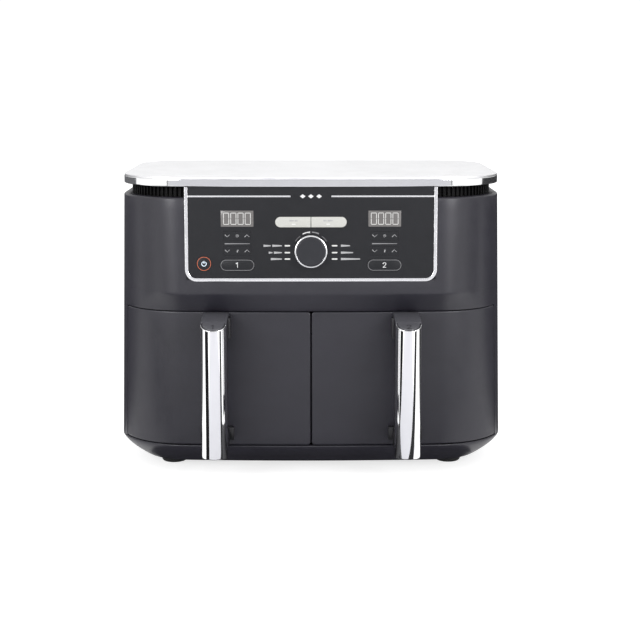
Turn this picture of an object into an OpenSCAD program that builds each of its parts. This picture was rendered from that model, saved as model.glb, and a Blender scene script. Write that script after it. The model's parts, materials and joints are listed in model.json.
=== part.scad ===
// Two-drawer hot-air fryer. Millimetres, +Z up, the front faces -Y.
// The origin is under the middle of the whole object, on the surface that it stands on.

/* [Body] */
// Width of the housing at its widest level
body_w = 415; // [405:1:430]
// Height from the worktop to the top of the lid
total_h = 315; // [314:0.5:318]
// Depth from the crowned drawer fronts to the rear wall
body_d = 282; // [278:1:290]
// Radius of the housing's front corners in plan
corner_r = 77; // [74:1:80]
// Radius of the housing's rear corners in plan
rear_r = 60; // [55:1:64]
// How far the drawer fronts bow forward across the width
crown = 4.1; // [3:0.1:5]
// Draft of the side walls in degrees
draft_a = 1.5; // [0.9:0.1:1.6]
// Wall thickness of the moulded housing
wall = 3; // [2.5:0.1:3.2]

/* [Levels] */
// Underside of the base, above the worktop
base_z = 5; // [4:0.5:6]
// Level where the base starts to curve inwards
belly_z = 30; // [28:1:32]
// Seam between the base and the drawers
low_seam_z = 31.6; // [31:0.1:34]
// Seam between the drawers and the upper housing
top_seam_z = 175.4; // [175:0.1:176]
// Crease where the upper housing stands furthest forward
crease_z = 194.6; // [190:0.2:198]
// Shoulder under the intake ring
shoulder_z = 294; // [290:0.5:295]
// Lower edge of the lid's bright band
band_z = 305; // [303:0.5:306]

/* [Upper front] */
// How far the crease stands in front of the drawer fronts
brow = 5; // [4:0.2:6]
// Lean of the control panel in degrees
panel_lean = 2.3; // [1.5:0.1:3]
// Half width of the bright frame round the panel
frame_hw = 129.8; // [129.4:0.1:131]
// Width of the bright frame's rails
frame_rail = 3.4; // [3:0.1:4]

/* [Handles] */
// Distance of each handle from the middle plane
handle_x = 98.7; // [95:0.1:102]
// How far the handles reach in front of the drawer fronts
handle_reach = 58; // [54:1:62]
// Radius of the half-round front of the handle
handle_r = 13.2; // [12.5:0.1:13.5]
// Depth of the handle's grip from front to back
grip_d = 26; // [24:1:28]

/* [Drawers] */
// Inner edge of the pan, from the middle plane
pan_x0 = 8; // [8:0.5:9]
// Outer edge of the pan, from the middle plane
pan_x1 = 184; // [180:0.5:184]
// Front of the pan
pan_y0 = -97; // [-97:0.5:-94]
// Rear of the pan
pan_y1 = 132; // [128:1:134]
// Height of the pan's rim above the worktop
pan_top = 166; // [160:1:167]
// Thickness of the pan's wall
pan_wall = 2; // [1.6:0.1:2.4]
// Level of the crisper plate's underside
plate_z = 60; // [56:1:64]

/* [Fans and heaters] */
// Distance of each fan from the middle plane
fan_x = 96; // [94:0.5:98]
// Fan centre, front to back
fan_y = 30; // [26:1:34]
// Radius of the hot-air chamber
chamber_r = 82; // [80:0.5:83]
// Radius of the hot-air fan
hot_fan_r = 47; // [42:1:48]
// Radius of the motor's cooling fan
cool_fan_r = 42; // [38:1:46]
// Radius of the motor
motor_r = 30; // [26:1:32]

/* [Controls] */
// Radius of the dial's bright ring
dial_r = 16.85; // [16:0.05:17.5]
// Distance of the side keys from the middle plane
key_x = 75.8; // [75.2:0.1:77]
// Gap round a moving key
key_gap = 0.3; // [0.25:0.05:0.4]

/* [Hidden] */
$fn = 64;

spacer_d = 8;                                  // standoff behind the rear wall
total_d = handle_reach + body_d + spacer_d;
face_y = handle_reach - total_d / 2;           // foremost line of the drawer fronts
back_y = face_y + body_d;
flat_hw = body_w / 2 - corner_r;               // half width between the front corner centres
crown_r = (pow(flat_hw, 2) + pow(crown, 2)) / (2 * crown);
seam = 0.8;                                    // gap between the drawers and what is round them
drawer_s = 1.7;                                // station where a drawer front ends at the side
rear_s = 3.4;                                  // station where the rear cover begins
gloss_black = [0.16, 0.16, 0.18];
matt_black = [0.27, 0.27, 0.3];
chrome_c = [0.86, 0.86, 0.88];
steel_c = [0.75, 0.76, 0.78];

// ---- plan outline -------------------------------------------------------------------
// A section is [half width, front, front corner radius, rear, rear corner radius].
// A station runs from 0 at the front middle: 0-1 crown, 1-2 front corner, 2-3 side,
// 3-4 rear corner, 4-5 rear wall. Negative stations are the left half, and past 5 it wraps.

function ease(u) = let (c = min(1, max(0, u))) c * c * (3 - 2 * c);

function tuck(z) = max(0, (belly_z - z) / (belly_z - base_z));

function drawn_in(z) = max(0, z - belly_z) * tan(draft_a);

function section(z, e = 0) = [
    body_w / 2 - drawn_in(z) - 27 * pow(tuck(z), 1.3) - e,
    face_y + 0.6 * drawn_in(z) + 36 * pow(tuck(z), 1.2) + e,
    corner_r - drawn_in(z) - 32 * tuck(z) - e,
    back_y - drawn_in(z) - 20 * pow(tuck(z), 1.3) - e,
    rear_r - drawn_in(z) - 22 * tuck(z) - e
];

function half_rim(s, c) =
    let (
        cx = c[0] - c[2],
        turn = asin(cx / (crown_r - c[2])),
        cy = c[1] + crown_r - (crown_r - c[2]) * cos(turn),
        qy = c[3] - c[4],
        a = turn + (90 - turn) * (s - 1)
    )
    s <= 1 ? [crown_r * sin(turn * s), c[1] + crown_r * (1 - cos(turn * s))] :
    s <= 2 ? [cx + c[2] * sin(a), cy - c[2] * cos(a)] :
    s <= 3 ? [c[0], cy + (qy - cy) * (s - 2)] :
    s <= 4 ? [c[0] - c[4] + c[4] * cos(90 * (s - 3)), qy + c[4] * sin(90 * (s - 3))] :
    [(c[0] - c[4]) * (5 - s), c[3]];

function rim(s, c) =
    let (w = s > 5 ? s - 10 : s, p = half_rim(abs(w), c))
    [w < 0 ? -p[0] : p[0], p[1]];

// Front plane of the upper housing, leaning back from the crease
function upper_y(z) = face_y - brow + (z - crease_z) * tan(panel_lean);

// Above the drawers the front fills out to a plane that fades into the corners
function skin(s, z, e) =
    let (
        p = rim(s, section(z, e)),
        rise = min(1, max(0, (z - top_seam_z) / (crease_z - top_seam_z))),
        fade = p[1] < 0 ? 1 - ease((abs(p[0]) - 136) / 42) : 0
    )
    [p[0], p[1] + (upper_y(z) + e - p[1]) * rise * fade, z];

function crown_s(x) = asin(x / crown_r) / asin(flat_hw / (crown_r - corner_r));

function span(a, b, n) = [for (i = [0:n]) a + (b - a) * i / n];

function plan(c, n) = [
    for (i = [0:n - 1]) rim(-5 + 10 * i / n, c)
];

// A wall over stations and rows, each row [outer level, outer inset, inner level, inner inset].
// keep(i, j) says whether the cell between stations i, i+1 and rows j, j+1 is there.
module wall_patch(stations, rows, keep) {
    ns = len(stations);
    nr = len(rows);
    inner = ns * nr;
    there = function (i, j) i >= 0 && j >= 0 && i < ns - 1 && j < nr - 1 && keep(i, j);
    at = function (i, j) i * nr + j;
    points = concat(
        [for (s = stations) for (r = rows) skin(s, r[0], r[1])],
        [for (s = stations) for (r = rows) skin(s, r[2], r[3])]
    );
    quads = [
        for (i = [0:ns - 2]) for (j = [0:nr - 2]) if (there(i, j))
            let (a = at(i, j), b = at(i, j + 1), c = at(i + 1, j + 1), d = at(i + 1, j))
            each concat(
                [[a, b, c, d], [d + inner, c + inner, b + inner, a + inner]],
                there(i - 1, j) ? [] : [[b, a, a + inner, b + inner]],
                there(i, j + 1) ? [] : [[c, b, b + inner, c + inner]],
                there(i + 1, j) ? [] : [[d, c, c + inner, d + inner]],
                there(i, j - 1) ? [] : [[a, d, d + inner, a + inner]]
            )
    ];
    polyhedron(points, [for (q = quads) each [[q[0], q[1], q[2]], [q[0], q[2], q[3]]]]);
}

// Rounded rectangle between two corners
module round_rect(x0, y0, x1, y1, r) {
    for (x = [x0 + r, x1 - r]) {
        for (y = [y0 + r, y1 - r]) {
            translate([x, y]) circle(r);
        }
    }
    translate([x0 + r, y0]) square([x1 - x0 - 2 * r, y1 - y0]);
    translate([x0, y0 + r]) square([x1 - x0, y1 - y0 - 2 * r]);
}

// A box between two corners
module block(lo, hi) {
    translate(lo) cube([hi[0] - lo[0], hi[1] - lo[1], hi[2] - lo[2]]);
}

// Right-hand part as drawn, or its mirror image for the left
module side(s) {
    mirror([s < 0 ? 1 : 0, 0, 0]) children();
}

// ---- housing ------------------------------------------------------------------------

module base_pan() {
    n = 80;
    levels = [low_seam_z, 30, 24, 18, 12.5, 8.5, 6, 5];
    inner_levels = [low_seam_z, 30, 24, 18, 12.5, 9.4, 8.4, 8];
    rings = concat(
        [for (z = levels) [for (i = [0:n - 1]) concat(rim(-5 + 10 * i / n, section(z, z < 5.5 ? 2.5 : 0)), z)]],
        [for (k = [7:-1:0]) let (z = inner_levels[k])
            [for (i = [0:n - 1]) concat(rim(-5 + 10 * i / n, section(z, k == 7 ? 8 : wall)), z)]]
    );
    last = len(rings) - 1;
    sides = [
        for (k = [0:last - 1]) if (k != 7) for (i = [0:n - 1])
            let (m = (i + 1) % n, a = k * n + i, b = k * n + m, c = (k + 1) * n + m, d = (k + 1) * n + i)
            each [[a, b, c], [a, c, d]]
    ];
    top = [
        for (i = [0:n - 1])
            let (m = (i + 1) % n, a = last * n + i, b = last * n + m, c = m, d = i)
            each [[a, b, c], [a, c, d]]
    ];
    mid = (last + 1) * n;
    floors = [
        for (i = [0:n - 1])
            let (m = (i + 1) % n)
            each [[7 * n + i, 7 * n + m, mid], [8 * n + m, 8 * n + i, mid + 1]]
    ];
    points = concat([for (r = rings) each r], [[0, 0, levels[7]], [0, 0, inner_levels[7]]]);
    color(matt_black) polyhedron(points, concat(sides, top, floors));
}

foot_x = 150;
foot_ys = [-55, 122];
module feet() {
    color("#202023") for (x = [-foot_x, foot_x]) for (y = foot_ys) {
        translate([x, y, 0]) rotate_extrude($fn = 48) polygon([
            [0, 0], [11, 0], [13, 0.8], [14, 2.2], [14, base_z], [0, base_z]
        ]);
    }
}

front_stations = concat(
    span(-rear_s, -2, 7), span(-1.88, -drawer_s - 0.11, 1), [-drawer_s - 0.007],
    span(-1.55, -1.05, 6), [-crown_s(129)], span(-0.8, 0.8, 4), [crown_s(129)],
    span(1.05, 1.55, 6), [drawer_s + 0.007], span(drawer_s + 0.11, 1.88, 1), span(2, rear_s, 7)
);
panel_cut_z = 209.5;
module outer_housing() {
    sh = shoulder_z;
    rows = [
        [low_seam_z, 0, low_seam_z, wall], [104, 0, 104, wall], [top_seam_z, 0, top_seam_z, wall],
        [185, 0, 185, wall], [crease_z - 1, 0.4, crease_z - 1, wall], [crease_z + 1.5, 0, crease_z + 1.5, wall],
        [panel_cut_z, 0, panel_cut_z, wall], [250, 0, 250, wall], [sh - 3, 0, sh - 3.6, wall],
        [sh - 1, 0.5, sh - 3.2, wall + 0.2], [sh, 1.8, sh - 3, wall + 0.6], [sh, 13.5, sh - 3, 13.5]
    ];
    st = front_stations;
    mid = function (i) abs(st[i] + st[i + 1]) / 2;
    color(matt_black) wall_patch(
        st, rows,
        function (i, j) (j >= 2 || mid(i) > drawer_s) && (j < 6 || mid(i) > crown_s(129))
    );
}

vent_hw = 105;
vent_z = [216, 262];
gland = [-120, 60];
module rear_cover() {
    sh = shoulder_z;
    x_at = body_w / 2 - rear_r;
    st = concat(
        span(rear_s, 4, 5), span(4.07, 4.21, 2), [5 - vent_hw / x_at], span(4.5, 5.5, 4),
        [5 + vent_hw / x_at], span(5.79, 5.93, 2), span(6, 10 - rear_s, 5)
    );
    rows = [
        [low_seam_z, 0, low_seam_z, wall], [110, 0, 110, wall], [vent_z[0], 0, vent_z[0], wall],
        [vent_z[1], 0, vent_z[1], wall], [sh - 3, 0, sh - 3.6, wall], [sh - 1, 0.5, sh - 3.2, wall + 0.2],
        [sh, 1.8, sh - 3, wall + 0.6], [sh, 13.5, sh - 3, 13.5]
    ];
    mid = function (i) abs(5 - (st[i] + st[i + 1]) / 2) * x_at;
    color(matt_black) difference() {
        union() {
            wall_patch(st, rows, function (i, j) j != 2 || mid(i) > vent_hw);
            for (x = [-128, 120]) {
                block([x, back_y - 5, 80], [x + 8, back_y + spacer_d, 196]);
            }
        }
        translate([gland[0], back_y + 5, gland[1]]) rotate([90, 0, 0]) cylinder(r = 6, h = 20);
    }
}

module exhaust_grille() {
    size = [2 * vent_hw - 1.6, vent_z[1] - vent_z[0] - 0.8];
    cells = [6, 7];
    rib = [2, 2.4];
    pitch = [for (k = [0, 1]) (size[k] - rib[k]) / cells[k]];
    color(gloss_black) translate([-size[0] / 2, back_y - 6.3, vent_z[0] + 0.4])
        rotate([90, 0, 0]) linear_extrude(2.6) difference() {
            square(size);
            for (i = [0:cells[0] - 1]) for (j = [0:cells[1] - 1]) {
                translate([rib[0] + i * pitch[0], rib[1] + j * pitch[1]])
                    square([pitch[0] - rib[0], pitch[1] - rib[1]]);
            }
        }
}

module cord_gland() {
    color("#202023") translate([gland[0], back_y + 3, gland[1]]) rotate([90, 0, 0]) difference() {
        union() {
            cylinder(r = 9, h = 3);
            cylinder(r = 5.9, h = 12);
        }
        translate([0, 0, -1]) cylinder(r = 3.6, h = 14);
    }
}

// The lid overhangs the intake ring and stands level with the housing's widest line
lid_c = [199.6, face_y - 2.5, 73.2, back_y - 8, 57];
function lid_inset(e) = [lid_c[0] - e, lid_c[1] + e, lid_c[2] - e, lid_c[3] - e, lid_c[4] - e];
sheet_z = total_h - 2.4;

module top_lid() {
    color(steel_c) {
        translate([0, 0, total_h - 1]) linear_extrude(1) polygon(plan(lid_inset(1.2), 200));
        translate([0, 0, sheet_z]) linear_extrude(total_h - 1 - sheet_z) polygon(plan(lid_inset(0.3), 200));
    }
}

module lid_trim() {
    color(chrome_c) translate([0, 0, band_z]) linear_extrude(sheet_z - band_z) difference() {
        polygon(plan(lid_c, 200));
        polygon(plan(lid_inset(2.4), 200));
    }
}

// Teeth at a pitch of about 5.3 mm on every stretch of the outline
module vent_ring() {
    crest = lid_inset(8.5);
    groove = lid_inset(10.3);
    back = lid_inset(12.3);
    stretches = [[1, 2, 19], [2, 3, 26], [3, 4, 16], [4, 6, 54], [6, 7, 16], [7, 8, 26], [8, 9, 19]];
    outer = [
        for (t = stretches) for (i = [0:t[2] - 1]) for (q = [0, 1, 2, 3])
            let (u = [0, 0.42, 0.42, 1][q] - (q == 3 ? 0.001 : 0))
            rim(t[0] + (t[1] - t[0]) * (i + u) / t[2], q < 2 ? crest : groove)
    ];
    inner = [for (s = span(9, 1, 120)) rim(s, back)];
    color(gloss_black) translate([0, 0, shoulder_z]) linear_extrude(sheet_z - shoulder_z)
        polygon(concat(outer, inner));
}

module housing_screws() {
    color(steel_c) for (p = [[-165, 30], [165, 30], [-60, -60], [60, -60], [-60, 128], [60, 128]]) {
        translate([p[0], p[1], base_z - 1.8]) difference() {
            cylinder(r = 4, h = 1.8, $fn = 32);
            for (a = [0, 90]) {
                rotate([0, 0, a]) translate([-2.4, -0.5, -0.6]) cube([4.8, 1, 1.4]);
            }
        }
    }
}

// ---- control panel ------------------------------------------------------------------
// Panel frame: x across, y up the panel from the bright frame's lower edge, z out of it.

frame_z = 207.8;
function up(z) = (z - frame_z) / cos(panel_lean);
panel_top = up(band_z) - 0.1;
rail_y = up(294.6);
rail_t = 1.6;
rail_gap = 21;                                  // half the space between the two rails
dial_y = up(239.1);
pill_y = up(269);
time_y = up(254.9);
temp_y = up(239.4);
zone_y = up(224.7);
power_x = -110.2;
power_y = up(226.2);
power_r = 7.4;
display_y = up(272.5);
display_size = [33.6, 16.5];
rocker_size = [27.6, 8.4];
zone_size = [35, 11.6];
pill_size = [73.4, 10.7];

module on_panel() {
    translate([0, upper_y(frame_z), frame_z]) rotate([90 - panel_lean, 0, 0]) children();
}

module slot_shape(size) {
    r = size[1] / 2;
    reach = size[0] / 2 - r;
    for (x = [-reach, reach]) {
        translate([x, 0]) circle(r);
    }
    translate([-reach, -r]) square([2 * reach, size[1]]);
}

module panel_bezel() {
    color(chrome_c) on_panel() {
        linear_extrude(1.2) difference() {
            union() {
                round_rect(-frame_hw, 0, frame_hw, 60, 12);
                translate([-frame_hw, 30]) square([2 * frame_hw, panel_top - 30]);
            }
            union() {
                round_rect(frame_rail - frame_hw, frame_rail, frame_hw - frame_rail, 60, 12 - frame_rail);
                translate([frame_rail - frame_hw, 30])
                    square([2 * (frame_hw - frame_rail), panel_top - 29]);
            }
        }
        for (x = [frame_rail - frame_hw, rail_gap]) {
            translate([x, rail_y, 0.01]) cube([frame_hw - frame_rail - rail_gap, rail_t, 0.5]);
        }
    }
}

module key_holes(gap) {
    g = 2 * gap;
    translate([power_x, power_y]) circle(power_r + gap);
    translate([0, dial_y]) circle(4);
    translate([0, pill_y]) slot_shape([pill_size[0] + g, pill_size[1] + g]);
    for (s = [-1, 1]) {
        translate([s * key_x, zone_y]) slot_shape([zone_size[0] + g, zone_size[1] + g]);
        for (y = [time_y, temp_y]) {
            translate([s * key_x - rocker_size[0] / 2 - gap, y - rocker_size[1] / 2 - gap])
                square([rocker_size[0] + g, rocker_size[1] + g]);
        }
        translate([s * key_x - display_size[0] / 2, display_y - display_size[1] / 2]) square(display_size);
    }
}

module control_panel() {
    color(gloss_black) on_panel() translate([0, 0, -2.5]) linear_extrude(2.5) difference() {
        translate([-128.5, up(panel_cut_z) + 0.3]) square([257, panel_top - up(panel_cut_z) - 0.3]);
        key_holes(key_gap);
    }
}

module displays() {
    color("#6b6867") on_panel() for (s = [-1, 1]) {
        translate([s * key_x - display_size[0] / 2, display_y - display_size[1] / 2, -1.6])
            cube([display_size[0], display_size[1], 1.7]);
    }
}

board_z = -9;
module control_board() {
    color("#1f5a35") on_panel() {
        posts = [[-98.5, 11], [98.5, 11], [-111, 79], [111, 79]];
        difference() {
            translate([-116, 6, board_z]) cube([232, 78, 1.6]);
            for (p = posts) {
                translate([p[0], p[1], board_z - 1]) cylinder(r = 1.7, h = 4, $fn = 24);
            }
        }
        for (p = posts) {
            translate([p[0], p[1], board_z + 1.6]) difference() {
                cylinder(r = 3, h = -2.5 - board_z - 1.6, $fn = 24);
                translate([0, 0, -1]) cylinder(r = 1.7, h = 4, $fn = 24);
            }
        }
        for (s = [-1, 1]) {
            translate([s * key_x - 16, display_y - 7.5, board_z + 1.6]) cube([32, 15, 5.6]);
            for (y = [time_y, temp_y]) for (t = [-10, 10]) {
                translate([s * key_x + t - 3, y - 3, board_z + 1.6]) cube([6, 6, 3.2]);
            }
        }
        translate([-10, 62, board_z - 6]) cube([20, 10, 6]);
    }
}

module dial_encoder() {
    color("#3d3d42") on_panel() translate([0, dial_y, board_z + 1.6]) difference() {
        union() {
            translate([-6.5, -6.5, 0]) cube([13, 13, 3.6]);
            cylinder(r = 3.8, h = 5);
        }
        cylinder(r = 3.06, h = 6);
    }
}

module dial_shaft() {
    color(steel_c) on_panel() translate([0, dial_y, board_z + 3]) cylinder(r = 3, h = 11.6);
}

dial_z0 = 1.5;
dial_z1 = 8.6;
module dial_knob() {
    color(gloss_black) on_panel() translate([0, dial_y, 0]) difference() {
        rotate_extrude($fn = 96) polygon([
            [0, dial_z0], [dial_r - 1.8, dial_z0], [dial_r - 1.8, dial_z1 - 1.2],
            [dial_r - 2.6, dial_z1 - 0.4], [0, dial_z1 - 0.4]
        ]);
        translate([0, 0, dial_z0 - 1]) cylinder(r = 3.05, h = board_z + 14.7 - dial_z0 + 1);
    }
}

module dial_ring() {
    color(chrome_c) on_panel() translate([0, dial_y, 0]) rotate_extrude($fn = 96) polygon([
        [dial_r - 1.75, dial_z0], [dial_r, dial_z0], [dial_r, dial_z1 - 0.8],
        [dial_r - 0.6, dial_z1], [dial_r - 1.75, dial_z1 - 0.4]
    ]);
}

key_low = -2.4;
key_high = 0.35;
module key_at(x, y) {
    on_panel() translate([x, y, key_low]) linear_extrude(key_high - key_low) children();
}

module power_key() {
    color(gloss_black) key_at(power_x, power_y) circle(power_r);
}

module zone_key(s) {
    color(gloss_black) key_at(s * key_x, zone_y) slot_shape(zone_size);
}

module rocker_key(s, y) {
    color(gloss_black) {
        key_at(s * key_x, y) translate([-rocker_size[0] / 2, -rocker_size[1] / 2]) square(rocker_size);
        on_panel() translate([s * key_x, y + rocker_size[1] / 2, key_low]) rotate([90, 0, 0])
            cylinder(r = 1.2, h = rocker_size[1]);
    }
}

module pill_key(s) {
    half = [pill_size[0] / 2, pill_size[1] / 2];
    color("#dededa") key_at(0, pill_y) intersection() {
        slot_shape(pill_size);
        translate([s < 0 ? -half[0] - 1 : 0.3, -half[1]]) square([half[0] + 0.7, pill_size[1]]);
    }
}

// ---- inner frame, liners, heaters, motors -----------------------------------------------

liner_y0 = -56;
liner_y1 = 150;
liner_x0 = 4.3;
liner_x1 = 188.2;
liner_z0 = 36;
liner_top = 176.4;
sheet = 1.2;

module front_frame() {
    color(gloss_black) {
        difference() {
            translate([0, liner_y0, low_seam_z + 0.2]) rotate([90, 0, 0]) linear_extrude(3)
                polygon([[-198.4, 0], [198.4, 0], [195.6, 145.5], [-195.6, 145.5]]);
            for (s = [-1, 1]) side(s) {
                block([liner_x0 + sheet, liner_y0 - 4, liner_z0 + sheet],
                      [liner_x1 - sheet, liner_y0 + 1, liner_top]);
            }
        }
        translate([0, 0, liner_top + 1.2]) linear_extrude(2.4) polygon(concat(
            [for (s = span(-1.55, 1.55, 40)) rim(s, section(liner_top, 4))],
            [[150, liner_y0 - 3.3], [-150, liner_y0 - 3.3]]
        ));
    }
}

// Plan of the liner, with the rear outer corner cut off where the housing is round
liner_plan = [
    [liner_x0, liner_y0], [liner_x1, liner_y0], [liner_x1, 118], [160, liner_y1], [liner_x0, liner_y1]
];

// Upright sheet inside the edge between two corners of the liner's plan
module liner_wall(p, q) {
    run = norm(q - p);
    trim = sheet + 0.15;
    translate(p) rotate(atan2(q[1] - p[1], q[0] - p[0]))
        translate([trim, 0]) square([run - 2 * trim, sheet]);
}

module liner_body() {
    translate([0, 0, liner_z0]) linear_extrude(sheet) polygon(liner_plan);
    for (x = [32, 156]) {
        block([x, liner_y0 + 4, liner_z0 + sheet + 0.1], [x + 6, liner_y1 - 18, 41.6]);
    }
    translate([0, 0, liner_z0 + sheet + 0.1]) linear_extrude(liner_top - liner_z0 - sheet - 0.2) {
        for (i = [1:4]) {
            liner_wall(liner_plan[i], liner_plan[(i + 1) % 5]);
        }
    }
    translate([0, 0, liner_top]) linear_extrude(sheet) difference() {
        polygon(liner_plan);
        translate([fan_x, fan_y]) circle(chamber_r - sheet);
    }
    translate([fan_x, fan_y, liner_top + sheet + 0.1]) difference() {
        cylinder(r = chamber_r, h = 27);
        translate([0, 0, -1]) cylinder(r = chamber_r - sheet, h = 28 - sheet);
        translate([0, 0, 20]) cylinder(r = 9, h = 10);
        for (x = [-10, 10]) {
            translate([x, 66, 20]) cylinder(r = 3.3, h = 10);
        }
        translate([0, -75, 20]) cylinder(r = 2.1, h = 10);
    }
}

module liner(s) {
    color(steel_c) side(s) liner_body();
}

coil_z = 190;
module heater(s) {
    color("#8c8c90") side(s) translate([fan_x, fan_y, coil_z]) {
        for (r = [57, 66]) {
            rotate_extrude($fn = 96) translate([r, 0]) circle(3.2, $fn = 24);
        }
        for (x = [-10, 10]) {
            translate([x, 66, 0]) cylinder(r = 3.2, h = 24, $fn = 32);
        }
        for (a = [30, 210]) {
            rotate([0, 0, a]) translate([57, 0, 0]) rotate([0, 90, 0]) cylinder(r = 2, h = 9, $fn = 24);
        }
    }
}

module guard(s) {
    color(steel_c) side(s) translate([fan_x, fan_y, liner_top + 1.4]) {
        for (r = [22, 41, 60, 79]) {
            rotate_extrude($fn = 96) translate([r, 0]) circle(1.2, $fn = 16);
        }
        for (a = [0:45:315]) {
            rotate([0, 0, a]) translate([22, 0, 0]) rotate([0, 90, 0]) cylinder(r = 1, h = 57, $fn = 16);
        }
    }
}

module thermal_sensors() {
    color(chrome_c) for (s = [-1, 1]) side(s) translate([fan_x, fan_y - 75, 186]) {
        cylinder(r = 2, h = 26, $fn = 24);
    }
}

deck_z = 222;
module motor_deck() {
    c = section(deck_z, 4);
    color(steel_c) translate([0, 0, deck_z]) linear_extrude(1.6) difference() {
        polygon([for (p = plan(c, 120)) [p[0], min(max(p[1], -92), 152)]]);
        for (s = [-1, 1]) translate([s * fan_x, fan_y]) {
            circle(8);
            for (a = [0:30:330]) {
                rotate(a) translate([38, 0]) circle(4.5, $fn = 32);
            }
        }
    }
}

module motor(s) {
    color("#8a7a62") side(s) translate([fan_x, fan_y, deck_z + 1.6]) difference() {
        union() {
            cylinder(r = motor_r, h = 30);
            cylinder(r = 12, h = 36);
            for (a = [90, 210, 330]) {
                rotate([0, 0, a]) translate([motor_r - 4, -6, 0]) cube([12, 12, 2]);
            }
        }
        translate([0, 0, -1]) cylinder(r = 3.06, h = 34);
    }
}

module motor_shaft(s) {
    color(chrome_c) side(s) translate([fan_x, fan_y, 188]) cylinder(r = 3, h = 66, $fn = 48);
}

module fan_wheel(r, z0, h, blades, hub) {
    difference() {
        union() {
            translate([0, 0, z0]) cylinder(r = hub, h = h);
            translate([0, 0, z0 + h - 1.2]) cylinder(r = r, h = 1.2);
            for (k = [0:blades - 1]) {
                rotate([0, 0, k * 360 / blades]) translate([0, 0, z0]) linear_extrude(h - 1)
                    polygon([[hub - 1, -0.6], [r * 0.6, 1.6], [r - 1, 6], [r - 1, 7.2], [r * 0.6, 2.9],
                             [hub - 1, 0.6]]);
            }
        }
        translate([0, 0, z0 - 1]) cylinder(r = 3, h = h + 2);
    }
}

module hot_fan(s) {
    color(steel_c) side(s) translate([fan_x, fan_y, 0]) fan_wheel(hot_fan_r, 189, 12, 8, 9);
}

module cooling_fan(s) {
    color("#4a4a50") side(s) translate([fan_x, fan_y, 0]) fan_wheel(cool_fan_r, 208, 11, 9, 9);
}

module drawer_switches() {
    color("#3d3d42") for (s = [-1, 1]) {
        block([s * fan_x - 12, liner_y1, 120], [s * fan_x + 12, liner_y1 + 8, 134]);
    }
}

module power_board() {
    z = deck_z + 8;
    color("#b58a4a") {
        block([-42, -20, z], [42, 100, z + 1.6]);
        for (x = [-36, 36]) for (y = [-14, 94]) {
            translate([x, y, deck_z + 1.6]) cylinder(r = 3, h = z - deck_z - 1.6, $fn = 24);
        }
        for (x = [-22, 10]) {
            block([x, 60, z + 1.6], [x + 16, 84, z + 17]);
        }
        for (y = [-4, 18]) {
            translate([-22, y, z + 1.6]) cylinder(r = 8, h = 26, $fn = 40);
        }
        block([4, -10, z + 1.6], [34, 24, z + 24]);
    }
}

// ---- drawers ----------------------------------------------------------------------------

handle_front = face_y - handle_reach;          // foremost line of the handles
root_y = -106.9;                                // back end of the handle's arms
arm_hw = 12;
top_arm = [150, 169.4];
low_arm = [40, 52];

module drawer_front(s) {
    z0 = low_seam_z + seam;
    z1 = top_seam_z - seam;
    st = concat(span(crown_s(0.6), 1, 12), span(1.08, drawer_s, 9));
    rows = [
        [z0, 13, z0 + 3, 13], [z0, 1.2, z0 + 3, 3.6], [z0 + 1.2, 0, z0 + 3.4, 3.6], [104, 0, 104, 3.6],
        [z1 - 1.2, 0, z1 - 3.4, 3.6], [z1, 1.2, z1 - 3, 3.6], [z1, 13, z1 - 3, 13]
    ];
    color(matt_black) side(s) difference() {
        wall_patch(st, rows, function (i, j) true);
        for (a = [top_arm, low_arm]) {
            block([handle_x - arm_hw - 0.3, face_y - 5, a[0] - 0.4],
                  [handle_x + arm_hw + 0.3, face_y + 9, a[1] + 0.4]);
        }
    }
}

pan_z0 = 42;
pan_r = 34;
module drawer_pan(s) {
    color("#34343a") side(s) {
        difference() {
            translate([0, 0, pan_z0]) linear_extrude(pan_top - pan_z0)
                round_rect(pan_x0, pan_y0, pan_x1, pan_y1, pan_r);
            translate([0, 0, pan_z0 + pan_wall]) linear_extrude(pan_top)
                round_rect(pan_x0 + pan_wall, pan_y0 + pan_wall, pan_x1 - pan_wall, pan_y1 - pan_wall,
                           pan_r - pan_wall);
        }
        for (z = [[44, 58], [146, 164]]) {
            block([handle_x - 15, root_y, z[0]], [handle_x + 15, pan_y0, z[1]]);
        }
    }
}

cap_t = 4;

// The cap is level at the drawer and curves down towards its front edge
function cap_top(y) = 174.6 - 9 * pow(max(0, face_y - y) / handle_reach, 3);

function cap_line(y0, y1, drop) = [for (y = span(y0, y1, 12)) [y, cap_top(y) - drop]];

// Plan of the grip: half round in front, straight sides behind
module grip_plan(r, back) {
    translate([handle_x, handle_front + handle_r]) circle(r);
    translate([handle_x - r, handle_front + handle_r]) square([2 * r, back - handle_front - handle_r]);
}

// Keeps what lies inside a side-view outline, given as [y, z] points
module side_cut(points) {
    intersection() {
        children();
        translate([handle_x - 20, 0, 0]) rotate([90, 0, 90]) linear_extrude(40) polygon(points);
    }
}

// Arc from one angle to another, as [y, z] points
function arc(y, z, r, a0, a1) = [for (t = span(a0, a1, 6)) [y + r * cos(t), z + r * sin(t)]];

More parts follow.
